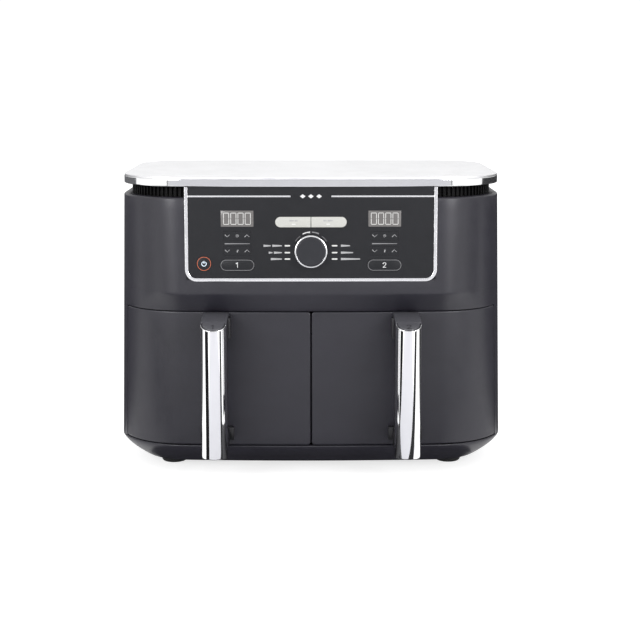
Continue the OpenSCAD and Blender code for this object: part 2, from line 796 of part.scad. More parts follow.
chrome_back = handle_front + 16.6;
module handle_core(s) {
    inner_r = handle_r - 1.35;
    back = handle_front + grip_d;
    wall_y = face_y - 1;
    color(gloss_black) side(s) {
        side_cut(concat(
            [[handle_front, 33]],
            [[wall_y, low_arm[0]], [root_y, low_arm[0]], [root_y, low_arm[1]]],
            arc(back + 7, low_arm[1] + 7, 7, 270, 180),
            arc(back + 9, top_arm[0] - 9, 9, 180, 90),
            [[root_y, top_arm[0]], [root_y, top_arm[1]], [wall_y, top_arm[1]]],
            cap_line(wall_y - 0.6, handle_front, cap_t + 0.15)
        )) linear_extrude(200) {
            grip_plan(inner_r, root_y);
            translate([handle_x - handle_r, chrome_back + 0.4])
                square([2 * handle_r, face_y - 2 - chrome_back]);
        }
        block([handle_x - 15, face_y - 6, 148], [handle_x + 15, face_y + 2.6, top_arm[1]]);
        block([handle_x - 17.4, face_y - 5, 39.5], [handle_x + 17.4, face_y + 1.6, 53]);
    }
}

module handle_cover(s) {
    color(chrome_c) side(s) side_cut(concat(
        [[handle_front - 1, 32], [chrome_back, 32]],
        cap_line(chrome_back, handle_front - 1, 0.6)
    )) linear_extrude(200) difference() {
        grip_plan(handle_r, chrome_back);
        grip_plan(handle_r - 1.2, chrome_back + 1);
    }
}

module handle_cap(s) {
    color(matt_black) side(s) side_cut(concat(
        cap_line(face_y + 3.4, handle_front, 0), cap_line(handle_front, face_y + 3.4, cap_t)
    )) linear_extrude(200) {
        grip_plan(handle_r - 2.1, chrome_back + 1);
        translate([handle_x - handle_r + 0.2, chrome_back + 0.5])
            square([2 * handle_r - 0.4, face_y + 2.9 - chrome_back - 0.5]);
    }
}

module crisper_plate(s) {
    e = pan_wall + 1.2;
    color("#2d2d32") side(s) difference() {
        translate([0, 0, plate_z]) linear_extrude(2)
            round_rect(pan_x0 + e, pan_y0 + e, pan_x1 - e, pan_y1 - e, pan_r - e);
        for (x = [26:20:156]) for (y = [-72:24:108]) {
            block([x, y, plate_z - 1], [x + 11, y + 7, plate_z + 3]);
        }
        translate([fan_x, 15.5, plate_z - 1]) cylinder(r = 6, h = 4);
    }
}

module plate_feet(s) {
    color("#77777c") side(s) for (x = [24, 168]) for (y = [-60, 95]) {
        translate([x, y, pan_z0 + pan_wall + 0.3]) cylinder(r = 5, h = plate_z - pan_z0 - pan_wall - 0.3);
    }
}

base_pan();
feet();
outer_housing();
rear_cover();
exhaust_grille();
cord_gland();
top_lid();
lid_trim();
vent_ring();
panel_bezel();
control_panel();
displays();
control_board();
dial_encoder();
power_board();
motor_deck();
front_frame();
liner(-1);  // left_liner
liner(1);  // right_liner
heater(-1);  // left_heater
heater(1);  // right_heater
guard(-1);  // left_guard
guard(1);  // right_guard
motor(-1);  // left_motor
motor(1);  // right_motor
thermal_sensors();
drawer_switches();
housing_screws();
motor_shaft(-1);  // left_motor_shaft
hot_fan(-1);  // left_hot_fan
cooling_fan(-1);  // left_cooling_fan
motor_shaft(1);  // right_motor_shaft
hot_fan(1);  // right_hot_fan
cooling_fan(1);  // right_cooling_fan
drawer_front(-1);  // left_drawer_front
drawer_pan(-1);  // left_drawer_pan
handle_core(-1);  // left_handle_core
handle_cover(-1);  // left_handle_cover
handle_cap(-1);  // left_handle_cap
drawer_front(1);  // right_drawer_front
drawer_pan(1);  // right_drawer_pan
handle_core(1);  // right_handle_core
handle_cover(1);  // right_handle_cover
handle_cap(1);  // right_handle_cap
crisper_plate(-1);  // left_crisper_plate
plate_feet(-1);  // left_plate_feet
crisper_plate(1);  // right_crisper_plate
plate_feet(1);  // right_plate_feet
dial_shaft();
dial_knob();
dial_ring();
power_key();
zone_key(-1);  // zone_1_key
zone_key(1);  // zone_2_key
pill_key(-1);  // sync_key
pill_key(1);  // match_key
rocker_key(-1, time_y);  // left_time_key
rocker_key(-1, temp_y);  // left_temp_key
rocker_key(1, time_y);  // right_time_key
rocker_key(1, temp_y);  // right_temp_key
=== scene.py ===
"""Looks of the two-drawer hot-air fryer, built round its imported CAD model.

The CAD model is in metres; the numbers below are millimetres until a mesh is made.
The formulas for the housing's outline repeat those of the CAD source.
"""

import json
import math

import bmesh
import bpy
from mathutils import Matrix, Vector


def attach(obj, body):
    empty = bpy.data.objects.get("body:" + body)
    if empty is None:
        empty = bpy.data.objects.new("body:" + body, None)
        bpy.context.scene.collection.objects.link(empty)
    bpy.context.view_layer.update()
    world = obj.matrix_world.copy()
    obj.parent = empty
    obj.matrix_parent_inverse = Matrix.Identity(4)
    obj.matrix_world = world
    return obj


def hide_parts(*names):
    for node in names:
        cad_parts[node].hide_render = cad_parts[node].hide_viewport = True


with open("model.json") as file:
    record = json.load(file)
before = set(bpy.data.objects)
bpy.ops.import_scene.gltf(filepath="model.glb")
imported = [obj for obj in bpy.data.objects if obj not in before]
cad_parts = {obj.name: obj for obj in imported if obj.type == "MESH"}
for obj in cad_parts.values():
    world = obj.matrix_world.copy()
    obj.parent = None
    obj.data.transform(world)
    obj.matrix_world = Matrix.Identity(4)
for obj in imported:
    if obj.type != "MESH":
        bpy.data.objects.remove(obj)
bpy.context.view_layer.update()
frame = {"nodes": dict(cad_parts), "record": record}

MM = 0.001

# ---- dimensions shared with the CAD source, mm -----------------------------------------
BODY_W, TOTAL_H, BODY_D = 415.0, 315.0, 282.0
CORNER_R, REAR_R, CROWN, DRAFT = 77.0, 60.0, 4.1, 1.5
WALL, SEAM = 3.0, 0.8
BASE_Z, BELLY_Z, LOW_SEAM_Z, TOP_SEAM_Z = 5.0, 30.0, 31.6, 175.4
CREASE_Z, SHOULDER_Z, BAND_Z = 194.6, 294.0, 305.0
BROW, LEAN, FRAME_HW, RAIL = 5.0, 2.3, 129.8, 3.4
HANDLE_X, HANDLE_REACH, HANDLE_R = 98.7, 58.0, 13.2
PAN = dict(x0=8.0, x1=184.0, y0=-97.0, y1=132.0, z0=42.0, z1=166.0, wall=2.0, r=34.0)
DIAL_R, KEY_X = 16.85, 75.8
FACE_Y = HANDLE_REACH - (HANDLE_REACH + BODY_D + 8.0) / 2
BACK_Y = FACE_Y + BODY_D
FLAT_HW = BODY_W / 2 - CORNER_R
CROWN_R = (FLAT_HW ** 2 + CROWN ** 2) / (2 * CROWN)
DRAWER_S, REAR_S = 1.7, 3.4
LID = (199.6, FACE_Y - 2.5, 73.2, BACK_Y - 8.0, 57.0)
SHEET_Z = TOTAL_H - 2.4
FRAME_Z = 207.8
HANDLE_FRONT = FACE_Y - HANDLE_REACH
CHROME_BACK = HANDLE_FRONT + 16.6
ROOT_Y = -106.9
SIDES = {"left": -1, "right": 1}


# ---- plan outline ----------------------------------------------------------------------
def ease(u):
    """Smooth step from 0 to 1."""
    c = min(1.0, max(0.0, u))
    return c * c * (3 - 2 * c)


def section(z, inset=0.0):
    """Outline numbers of the housing at a level: half width, front, its corner radius, rear, its radius."""
    tuck = max(0.0, (BELLY_Z - z) / (BELLY_Z - BASE_Z))
    drawn = max(0.0, z - BELLY_Z) * math.tan(math.radians(DRAFT))
    return (
        BODY_W / 2 - drawn - 27 * tuck ** 1.3 - inset,
        FACE_Y + 0.6 * drawn + 36 * tuck ** 1.2 + inset,
        CORNER_R - drawn - 32 * tuck - inset,
        BACK_Y - drawn - 20 * tuck ** 1.3 - inset,
        REAR_R - drawn - 22 * tuck - inset,
    )


def inset_of(c, e):
    """Outline c moved inwards by e."""
    return (c[0] - e, c[1] + e, c[2] - e, c[3] - e, c[4] - e)


def rim(s, c):
    """Point of outline c at station s: 0-1 crown, 1-2 corner, 2-3 side, 3-4 rear corner, 4-5 rear."""
    w = s - 10 if s > 5 else s
    a = abs(w)
    cx = c[0] - c[2]
    turn = math.asin(cx / (CROWN_R - c[2]))
    cy = c[1] + CROWN_R - (CROWN_R - c[2]) * math.cos(turn)
    qy = c[3] - c[4]
    if a <= 1:
        x, y = CROWN_R * math.sin(turn * a), c[1] + CROWN_R * (1 - math.cos(turn * a))
    elif a <= 2:
        t = turn + (math.pi / 2 - turn) * (a - 1)
        x, y = cx + c[2] * math.sin(t), cy - c[2] * math.cos(t)
    elif a <= 3:
        x, y = c[0], cy + (qy - cy) * (a - 2)
    elif a <= 4:
        t = math.pi / 2 * (a - 3)
        x, y = c[0] - c[4] + c[4] * math.cos(t), qy + c[4] * math.sin(t)
    else:
        x, y = (c[0] - c[4]) * (5 - a), c[3]
    return (-x if w < 0 else x, y)


def upper_y(z):
    """Front plane of the upper housing, leaning back from the crease."""
    return FACE_Y - BROW + (z - CREASE_Z) * math.tan(math.radians(LEAN))


def skin(s, z, inset=0.0):
    """Point of the housing's surface; above the drawers the front fills out to the leaning plane."""
    x, y = rim(s, section(z, inset))
    rise = min(1.0, max(0.0, (z - TOP_SEAM_Z) / (CREASE_Z - TOP_SEAM_Z)))
    fade = 1 - ease((abs(x) - 136) / 42) if y < 0 else 0.0
    return (x, y + (upper_y(z) + inset - y) * rise * fade, z)


def crown_s(x):
    """Station on the crown at distance x from the middle."""
    return math.asin(x / CROWN_R) / math.asin(FLAT_HW / (CROWN_R - CORNER_R))


def span(a, b, n):
    """n + 1 values from a to b."""
    return [a + (b - a) * i / n for i in range(n + 1)]


def stations(*knots):
    """Joins spans (a, b, n) into one rising list without doubles."""
    out = []
    for a, b, n in knots:
        out += [v for v in span(a, b, n) if not out or v - out[-1] > 1e-6]
    return out


# ---- mesh building ---------------------------------------------------------------------
PANEL = Matrix.Translation(Vector((0, upper_y(FRAME_Z), FRAME_Z))) @ Matrix.Rotation(
    math.radians(90 - LEAN), 4, "X"
)


class Build:
    """Collects points and faces in mm, and makes one piece of them."""

    def __init__(self):
        self.points, self.faces = [], []

    def add(self, points, faces):
        base = len(self.points)
        self.points += [tuple(p) for p in points]
        self.faces += [tuple(base + i for i in f) for f in faces]
        return self

    def grid(self, rows, wrap_u=False, wrap_v=False):
        """Quads between neighbouring rows of points."""
        n, m = len(rows), len(rows[0])
        faces = []
        for i in range(n if wrap_u else n - 1):
            for j in range(m if wrap_v else m - 1):
                a, b = i * m + j, i * m + (j + 1) % m
                c, d = ((i + 1) % n) * m + (j + 1) % m, ((i + 1) % n) * m + j
                faces.append((a, b, c, d))
        return self.add([p for r in rows for p in r], faces)

    def loft(self, rings):
        """Closed rings joined in order, with a flat face at both ends."""
        self.grid(rings, wrap_v=True)
        m = len(rings[0])
        end = len(self.points)
        self.faces.append(tuple(range(end - m, end)))
        start = end - m * len(rings)
        self.faces.append(tuple(range(start, start + m))[::-1])
        return self

    def shell(self, outer, inner, keep=None):
        """A wall between two grids of points; keep(i, j) says which cells are there."""
        n, m = len(outer), len(outer[0])
        size = n * m

        def there(i, j):
            return 0 <= i < n - 1 and 0 <= j < m - 1 and (keep is None or keep(i, j))

        faces = []
        for i in range(n - 1):
            for j in range(m - 1):
                if not there(i, j):
                    continue
                a, b, c, d = i * m + j, i * m + j + 1, (i + 1) * m + j + 1, (i + 1) * m + j
                faces += [(a, b, c, d), (d + size, c + size, b + size, a + size)]
                for p, q, other in (
                    (b, a, (i - 1, j)), (c, b, (i, j + 1)), (d, c, (i + 1, j)), (a, d, (i, j - 1))
                ):
                    if not there(*other):
                        faces.append((p, q, q + size, p + size))
        points = [p for col in outer for p in col] + [p for col in inner for p in col]
        return self.add(points, faces)

    def prism(self, outline, z0, z1):
        """A flat outline pulled up from z0 to z1."""
        n = len(outline)
        points = [(x, y, z0) for x, y in outline] + [(x, y, z1) for x, y in outline]
        faces = [tuple(range(n))[::-1], tuple(range(n, 2 * n))]
        faces += [(i, (i + 1) % n, n + (i + 1) % n, n + i) for i in range(n)]
        return self.add(points, faces)

    def box(self, lo, hi):
        return self.prism([(lo[0], lo[1]), (hi[0], lo[1]), (hi[0], hi[1]), (lo[0], hi[1])], lo[2], hi[2])

    def ribbon(self, path, width, z0, z1, closed=False):
        """A flat stroke of even width along a path."""
        n, half = len(path), width / 2
        left, right = [], []
        for i, (x, y) in enumerate(path):
            before = path[i - 1] if i or closed else path[i]
            after = path[(i + 1) % n] if i < n - 1 or closed else path[i]
            a = Vector((x - before[0], y - before[1]))
            b = Vector((after[0] - x, after[1] - y))
            a, b = (a or b).normalized(), (b or a).normalized()
            normal = Vector((-a.y - b.y, a.x + b.x)).normalized()
            reach = half / max(0.45, normal.dot(Vector((-a.y, a.x))))
            left.append((x + normal.x * reach, y + normal.y * reach))
            right.append((x - normal.x * reach, y - normal.y * reach))
        loop = [
            [(*left[i], z0), (*left[i], z1), (*right[i], z1), (*right[i], z0)] for i in range(n)
        ]
        if closed:
            return self.grid(loop, wrap_u=True, wrap_v=True)
        return self.loft(loop)

    def lathe(self, profile, centre=(0.0, 0.0), n=96):
        """A closed (radius, z) profile spun about the vertical through centre."""
        rings = []
        for i in range(n):
            a = 2 * math.pi * i / n
            rings.append(
                [(centre[0] + r * math.cos(a), centre[1] + r * math.sin(a), z) for r, z in profile]
            )
        return self.grid(rings, wrap_u=True, wrap_v=True)

    def make(self, name, material, body, slot=None, replaces=(), bevel=0.0, segments=2,
             bevel_angle=35.0, smooth=32.0, place=None, mirror=False):
        """The finished piece: welded, bevelled where it turns sharply, riding on its body."""
        bm = bmesh.new()
        verts = [bm.verts.new(p) for p in self.points]
        for f in self.faces:
            if len(set(f)) > 2:
                bm.faces.new([verts[i] for i in f])
        tidy_mesh(bm, bevel, segments, bevel_angle)
        if place is not None:
            bm.transform(place)
        if mirror:
            bm.transform(Matrix.Scale(-1, 4, Vector((1, 0, 0))))
            bmesh.ops.reverse_faces(bm, faces=bm.faces)
        bm.transform(Matrix.Scale(MM, 4))
        return piece_from(bm, name, material, body, replaces, smooth)


def tidy_mesh(bm, bevel, segments, bevel_angle, weld=0.002):
    """Welds points, drops faces of no area and rounds the sharp edges."""
    bmesh.ops.remove_doubles(bm, verts=bm.verts, dist=weld)
    bmesh.ops.dissolve_degenerate(bm, edges=bm.edges, dist=weld)
    loose = [v for v in bm.verts if not v.link_faces]
    bmesh.ops.delete(bm, geom=loose, context="VERTS")
    bmesh.ops.recalc_face_normals(bm, faces=bm.faces)
    if bevel:
        limit = math.radians(bevel_angle)
        sharp = [e for e in bm.edges if len(e.link_faces) == 2 and e.calc_face_angle(0.0) > limit]
        bmesh.ops.bevel(
            bm, geom=sharp, offset=bevel, offset_type="OFFSET", segments=segments,
            profile=0.5, affect="EDGES", clamp_overlap=True,
        )


def piece_from(bm, name, material, body, replaces, smooth):
    """Links the mesh as an object that rides on a body."""
    for f in bm.faces:
        f.smooth = True
    mesh = bpy.data.meshes.new(name)
    bm.to_mesh(mesh)
    bm.free()
    mesh.set_sharp_from_angle(angle=math.radians(smooth))
    mesh.materials.append(material)
    obj = bpy.data.objects.new(name, mesh)
    bpy.context.scene.collection.objects.link(obj)
    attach(obj, body)
    if replaces:
        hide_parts(*replaces)
    return obj


def softened(node, material, body, bevel, segments=2, bevel_angle=30.0, smooth=32.0):
    """Stands for a CAD node with the same shape and rounded edges."""
    bm = bmesh.new()
    bm.from_mesh(frame["nodes"][node].data)
    bmesh.ops.remove_doubles(bm, verts=bm.verts, dist=2e-6)
    bmesh.ops.dissolve_limit(
        bm, angle_limit=math.radians(0.4), verts=bm.verts, edges=bm.edges, use_dissolve_boundaries=False
    )
    tidy_mesh(bm, bevel * MM, segments, bevel_angle, weld=2e-6)
    return piece_from(bm, node + "_rounded", material, body, (node,), smooth)


def arc(cx, cy, r, a0, a1, n):
    """Points of an arc, angles in degrees."""
    return [
        (cx + r * math.cos(math.radians(a)), cy + r * math.sin(math.radians(a))) for a in span(a0, a1, n)
    ]


def pill(cx, cy, w, h, n=12):
    """Outline with half-round ends."""
    r, reach = h / 2, (w - h) / 2
    return arc(cx + reach, cy, r, -90, 90, n) + arc(cx - reach, cy, r, 90, 270, n)


def round_rect(x0, y0, x1, y1, r, n=8):
    """Outline of a rectangle with rounded corners."""
    return (
        arc(x1 - r, y0 + r, r, -90, 0, n) + arc(x1 - r, y1 - r, r, 0, 90, n)
        + arc(x0 + r, y1 - r, r, 90, 180, n) + arc(x0 + r, y0 + r, r, 180, 270, n)
    )


# ---- materials -------------------------------------------------------------------------
class Look:
    """A node material grown from one Principled shader; texture space is the object's metres."""

    def __init__(self, name, **sockets):
        self.mat = bpy.data.materials.new(name)
        self.mat.use_nodes = True
        self.tree = self.mat.node_tree
        self.bsdf = self.tree.nodes["Principled BSDF"]
        for key, value in sockets.items():
            self.bsdf.inputs[key.replace("_", " ")].default_value = value
        self.coord = self.tree.nodes.new("ShaderNodeTexCoord")
        self.last_bump = None

    def node(self, kind, inputs=None, **props):
        n = self.tree.nodes.new("ShaderNode" + kind)
        for key, value in props.items():
            setattr(n, key, value)
        for key, value in (inputs or {}).items():
            if isinstance(value, bpy.types.NodeSocket):
                self.tree.links.new(value, n.inputs[key])
            else:
                n.inputs[key].default_value = value
        return n

    def place(self, stretch=(1, 1, 1), origin=(0, 0, 0), turn=(0, 0, 0)):
        """Object coordinates moved to an origin, turned and stretched."""
        moved = self.node(
            "VectorMath", {0: self.coord.outputs["Object"], 1: [-c * MM for c in origin]}, operation="ADD"
        )
        return self.node(
            "Mapping", {"Vector": moved.outputs[0], "Scale": stretch, "Rotation": turn}
        ).outputs[0]

    def noise(self, size, detail=2.0, stretch=(1, 1, 1), rough=0.55):
        """Noise whose features are about size millimetres across."""
        n = self.node("TexNoise", {
            "Vector": self.place(stretch), "Scale": 1 / (size * MM), "Detail": detail, "Roughness": rough,
        })
        return n.outputs[0]

    def cells(self, size, feature="F1", stretch=(1, 1, 1), output="Distance"):
        n = self.node(
            "TexVoronoi", {"Vector": self.place(stretch), "Scale": 1 / (size * MM)}, feature=feature
        )
        return n.outputs[output]

    def spread(self, value, lo, hi, low_at=0.3, high_at=0.7):
        """Maps a 0..1 texture to the range lo..hi."""
        return self.node("MapRange", {
            "Value": value, "From Min": low_at, "From Max": high_at, "To Min": lo, "To Max": hi,
        }).outputs[0]

    def blend(self, fac, a, b, low_at=0.3, high_at=0.7):
        """Colour a where the texture is low, b where it is high."""
        n = self.node("ValToRGB", {"Fac": fac})
        n.color_ramp.elements[0].position, n.color_ramp.elements[0].color = low_at, (*a, 1)
        n.color_ramp.elements[1].position, n.color_ramp.elements[1].color = high_at, (*b, 1)
        return n.outputs[0]

    def over(self, base, top, fac):
        """Colour top laid over base where fac is 1."""
        return self.node("Mix", {0: fac, 6: base, 7: top}, data_type="RGBA").outputs[2]

    def set(self, key, socket):
        self.tree.links.new(socket, self.bsdf.inputs[key])
        return self

    def bump(self, height, depth, strength=1.0):
        """Adds relief of depth millimetres under what is already there."""
        n = self.node("Bump", {"Height": height, "Distance": depth * MM, "Strength": strength})
        if self.last_bump is not None:
            self.tree.links.new(self.last_bump.outputs[0], n.inputs["Normal"])
        self.tree.links.new(n.outputs[0], self.bsdf.inputs["Normal"])
        self.last_bump = n
        return self


def scaled(color, k):
    return tuple(c * k for c in color)


def moulded(name, color, rough, grain=0.45, depth=0.012, vary=0.14, **sockets):
    """Moulded plastic with a spark-eroded grain, faint flow marks and handling polish."""
    look = Look(name, **sockets)
    flow = look.noise(70, 3.0, (1, 1, 2.2))
    patch = look.noise(9, 3.0)
    base = look.blend(flow, scaled(color, 1 - vary), scaled(color, 1 + vary))
    speck = look.blend(look.noise(0.7, 1.0), scaled(color, 0.82), scaled(color, 1.2))
    look.set("Base Color", look.over(base, speck, look.spread(patch, 0.25, 0.55)))
    look.set("Roughness", look.spread(patch, rough - 0.035, rough + 0.045))
    look.bump(flow, 0.02, 0.5)
    look.bump(look.noise(grain, 2.0), depth)
    return look.mat


def bright_metal(name, color, rough, brush=(1, 1, 1), fine=0.9, depth=0.0012, **sockets):
    """Bright metal with a brushed or buffed surface, faint smears and hairline marks."""
    look = Look(name, Metallic=1.0, **sockets)
    smear = look.noise(22, 4.0)
    lines = look.noise(fine, 2.0, brush)
    look.set("Base Color", look.blend(smear, scaled(color, 0.955), color))
    marks = look.spread(lines, rough * 0.8, rough * 1.25)
    smudge = look.spread(smear, 0.0, rough * 0.35)
    look.set("Roughness", look.node("Math", {0: marks, 1: smudge}, operation="ADD").outputs[0])
    look.bump(lines, depth)
    return look.mat


def sheet_steel():
    """Galvanised sheet with its spangle."""
    look = Look("sheet_steel", Metallic=1.0)
    spangle = look.cells(9, output="Color")
    grey = look.node("SeparateColor", {0: spangle}).outputs[0]
    look.set("Base Color", look.blend(grey, (0.42, 0.43, 0.44), (0.62, 0.63, 0.64), 0.1, 0.9))
    look.set("Roughness", look.spread(grey, 0.26, 0.42, 0.0, 1.0))
    look.bump(look.noise(2.5, 3.0), 0.01)
    return look.mat


def heater_tube():
    """Oxidised heater tube with heat tint."""
    look = Look("heater_tube", Metallic=1.0)
    tint = look.noise(26, 3.0)
    base = look.blend(tint, (0.13, 0.11, 0.10), (0.32, 0.27, 0.22))
    blue = look.blend(look.noise(12), (0.16, 0.15, 0.2), (0.3, 0.26, 0.24))
    look.set("Base Color", look.over(base, blue, look.spread(tint, 0.1, 0.7)))
    look.set("Roughness", look.spread(tint, 0.38, 0.55))
    look.bump(look.noise(0.6, 2.0), 0.02)
    return look.mat


def motor_case():
    """Laminated stack under a coat of varnish."""
    look = Look("motor_case", Metallic=0.6)
    sheets = look.node(
        "TexWave", {"Vector": look.place(), "Scale": 1 / (2.0 * MM) / 6.2832 * 3.1416, "Distortion": 0.2},
        wave_type="BANDS", bands_direction="Z",
    ).outputs[1]
    look.set("Base Color", look.blend(sheets, (0.16, 0.14, 0.11), (0.34, 0.31, 0.25)))
    look.set("Roughness", look.spread(look.noise(8), 0.3, 0.5))
    look.bump(sheets, 0.08)
    return look.mat


def circuit_board():
    """Solder mask over tracks, with pads."""
    look = Look("circuit_board")
    tracks = look.node("TexBrick", {
        "Vector": look.place(), "Scale": 1 / (14 * MM), "Mortar Size": 0.03, "Brick Width": 0.9,
        "Row Height": 0.28, "Color1": (0.012, 0.075, 0.03, 1), "Color2": (0.02, 0.11, 0.045, 1),
        "Mortar": (0.05, 0.2, 0.09, 1),
    })
    pads = look.spread(look.cells(3.1), 1.0, 0.0, 0.13, 0.15)
    look.set("Base Color", look.over(tracks.outputs[0], (0.72, 0.66, 0.5, 1), pads))
    look.set("Roughness", look.spread(look.noise(5), 0.25, 0.4))
    look.set("Metallic", pads)
    look.bump(tracks.outputs[1], 0.04)
    return look.mat


def baked_coating(name, color, rough):
    """Non-stick coating: fine orange peel and mineral specks."""
    look = Look(name, Coat_Weight=0.15, Coat_Roughness=0.25)
    specks = look.spread(look.cells(1.3), 1.0, 0.0, 0.1, 0.16)
    base = look.blend(look.noise(30, 3.0), scaled(color, 0.85), scaled(color, 1.2))
    look.set("Base Color", look.over(base, (*scaled(color, 3.2), 1), specks))
    look.set("Roughness", look.spread(look.noise(4, 3.0), rough - 0.05, rough + 0.06))
    look.bump(look.noise(1.1, 2.0), 0.03)
    return look.mat


def spun_face():
    """Dark dial face with the fine rings of a turned finish about its own axis."""
    look = Look("dial_face", Specular_IOR_Level=0.25)
    centre = PANEL @ Vector((0, DIAL_Y, 0))
    turned = look.place((1, 1, 1), centre, (0, 0, 0))
    rings = look.node(
        "TexWave", {"Vector": turned, "Scale": 1 / (1.9 * MM), "Distortion": 0.6, "Detail": 1.0},
        wave_type="RINGS", rings_direction="Y",
    ).outputs[1]
    look.set("Base Color", look.blend(rings, (0.018, 0.0185, 0.0225), (0.027, 0.028, 0.033)))
    look.set("Roughness", look.spread(look.noise(6, 3.0), 0.3, 0.4))
    look.bump(rings, 0.006)
    return look.mat


def lit(name, color, strength, tint=0.06):
    """A printed or lit mark: slightly uneven ink with its own light, which on the printed marks is a painted
    glow.
    """
    look = Look(name, Emission_Strength=strength, Roughness=0.45)
    ink = look.blend(look.noise(0.8, 2.0), scaled(color, 1 - tint), scaled(color, 1 + tint))
    look.set("Base Color", ink)
    look.set("Emission Color", ink)
    look.bump(look.noise(0.3), 0.01)
    return look.mat


def up(z):
    """Height on the panel, from the bright frame's lower edge, of a level z."""
    return (z - FRAME_Z) / math.cos(math.radians(LEAN))


PANEL_TOP = up(BAND_Z) - 0.1
RAIL_Y, DIAL_Y, PILL_Y = up(294.6), up(239.1), up(269)
TIME_Y, TEMP_Y, ZONE_Y = up(254.9), up(239.4), up(224.7)
POWER_X, POWER_Y, POWER_R = -110.2, up(226.2), 7.4
DISPLAY_Y = up(272.5)
KEY_LOW, KEY_HIGH = -2.4, 0.35

LOOKS = {
    "housing": moulded("housing", (0.0170, 0.0162, 0.0235), 0.40, Specular_IOR_Level=0.45),
    "dark_plastic": moulded("dark_plastic", (0.0085, 0.0085, 0.0100), 0.3, depth=0.006),
    "panel": moulded("panel", (0.0140, 0.0144, 0.0170), 0.38, depth=0.005, vary=0.08, Specular_IOR_Level=0.2),
    "bright_frame": bright_metal("bright_frame", (0.86, 0.86, 0.87), 0.17),
    "bright_band": bright_metal("bright_band", (0.84, 0.845, 0.85), 0.075, (0.06, 0.06, 1), 0.5),
    "lid_steel": bright_metal("lid_steel", (0.77, 0.77, 0.78), 0.34, (0.02, 1, 1), 0.5, 0.002),
    "handle_chrome": bright_metal("handle_chrome", (0.90, 0.90, 0.91), 0.035, depth=0.0003),
    "handle_cap": moulded("handle_cap", (0.066, 0.066, 0.076), 0.4),
    "dial_face": spun_face(),
    "light_key": moulded("light_key", (0.47, 0.47, 0.445), 0.45, depth=0.004, vary=0.03),
    "display": moulded("display", (0.125, 0.118, 0.115), 0.22, depth=0.001, vary=0.05, Coat_Weight=0.4),
    "rubber": moulded("rubber", (0.014, 0.014, 0.015), 0.62, 1.2, 0.05),
    "silicone": moulded("silicone", (0.16, 0.16, 0.17), 0.5, 2.0, 0.01),
    "sheet_steel": sheet_steel(),
    "heater_tube": heater_tube(),
    "fan_blades": bright_metal("fan_blades", (0.62, 0.62, 0.63), 0.3, (1, 0.1, 1), 1.2, 0.004),
    "motor_case": motor_case(),
    "circuit_board": circuit_board(),
    "pan_coating": baked_coating("pan_coating", (0.022, 0.022, 0.024), 0.4),
    "plate_coating": baked_coating("plate_coating", (0.02, 0.02, 0.022), 0.42),
    "fastener": bright_metal("fastener", (0.62, 0.61, 0.58), 0.24, fine=0.5, depth=0.003),
}
# Printed inks (white, grey, soft) with a faint painted glow.
INK_WITH_PAINTED_GLOW = lit("ink_white_painted_glow", (0.60, 0.60, 0.61), 0.12)
FAINT_INK_WITH_PAINTED_GLOW = lit("ink_grey_painted_glow", (0.21, 0.21, 0.22), 0.04)
DARK_INK = lit("ink_dark", (0.004, 0.004, 0.006), 0.0)
LAMP = lit("lamp_white", (0.50, 0.50, 0.49), 0.28)
DIM_INK_WITH_PAINTED_GLOW = lit("ink_soft_painted_glow", (0.33, 0.33, 0.34), 0.05)
BLUE_LAMP = lit("power_lamp", (0.62, 0.72, 0.82), 0.45)
COPPER = lit("power_ring", (0.50, 0.115, 0.05), 0.1)
# Near-black with little specular, darker than the dark plastic: painted shade of the vent slot under the lid.
VENT_BLACK_PAINTED_SHADE = moulded("vent_black_painted_shade", (0.0022, 0.0022, 0.0026), 0.55, Specular_IOR_Level=0.12)


# ---- housing ---------------------------------------------------------------------------
CORNER_ROWS = [(SHOULDER_Z - 2.5 + 2.5 * math.sin(math.radians(t)), 2.5 - 2.5 * math.cos(math.radians(t)))
               for t in (0, 18, 36, 54, 72, 90)]


def walls(rows, along, keep):
    """Outer and inner points of the housing's wall, over stations and (level, inset) rows."""
    def inner(z, e):
        if z > SHOULDER_Z - 2.5 and e < 13:
            return SHOULDER_Z - 3.6 + 0.2 * e, WALL + 0.25 * e
        return (SHOULDER_Z - 3, e) if e >= 13 else (z, WALL)

    outer = [[skin(s, z, e) for z, e in rows] for s in along]
    inside = [[skin(s, *inner(z, e)) for z, e in rows] for s in along]
    return Build().shell(outer, inside, keep)


def outer_housing():
    edge = crown_s(129)
    bay = DRAWER_S + 0.007
    along = stations(
        (-REAR_S, -3, 8), (-3, -2, 14), (-2, -bay, 9), (-bay, -1, 20), (-1, -edge, 1), (-edge, edge, 40),
        (edge, 1, 1), (1, bay, 20), (bay, 2, 9), (2, 3, 14), (3, REAR_S, 8),
    )
    levels = [LOW_SEAM_Z, 60, 104, 140, TOP_SEAM_Z, 179, 183, 187, 190.5, 192.4, 193.6]
    rows = [(z, 0) for z in levels] + [(CREASE_Z, 0.12), (195.6, 0), (197.4, 0), (201, 0)]
    cut = len(rows)
    rows += [(z, 0) for z in (209.5, 230, 250, 268, 281)] + CORNER_ROWS + [(SHOULDER_Z, 13.5)]
    seam_row = levels.index(TOP_SEAM_Z)

    def keep(i, j):
        mid = abs(along[i] + along[i + 1]) / 2
        return (j >= seam_row or mid > DRAWER_S) and (j < cut or mid > edge)

    walls(rows, along, keep).make(
        "housing_shell", LOOKS["housing"], "housing", "housing", ["outer_housing"],
        bevel=0.55, segments=3, bevel_angle=55,
    )


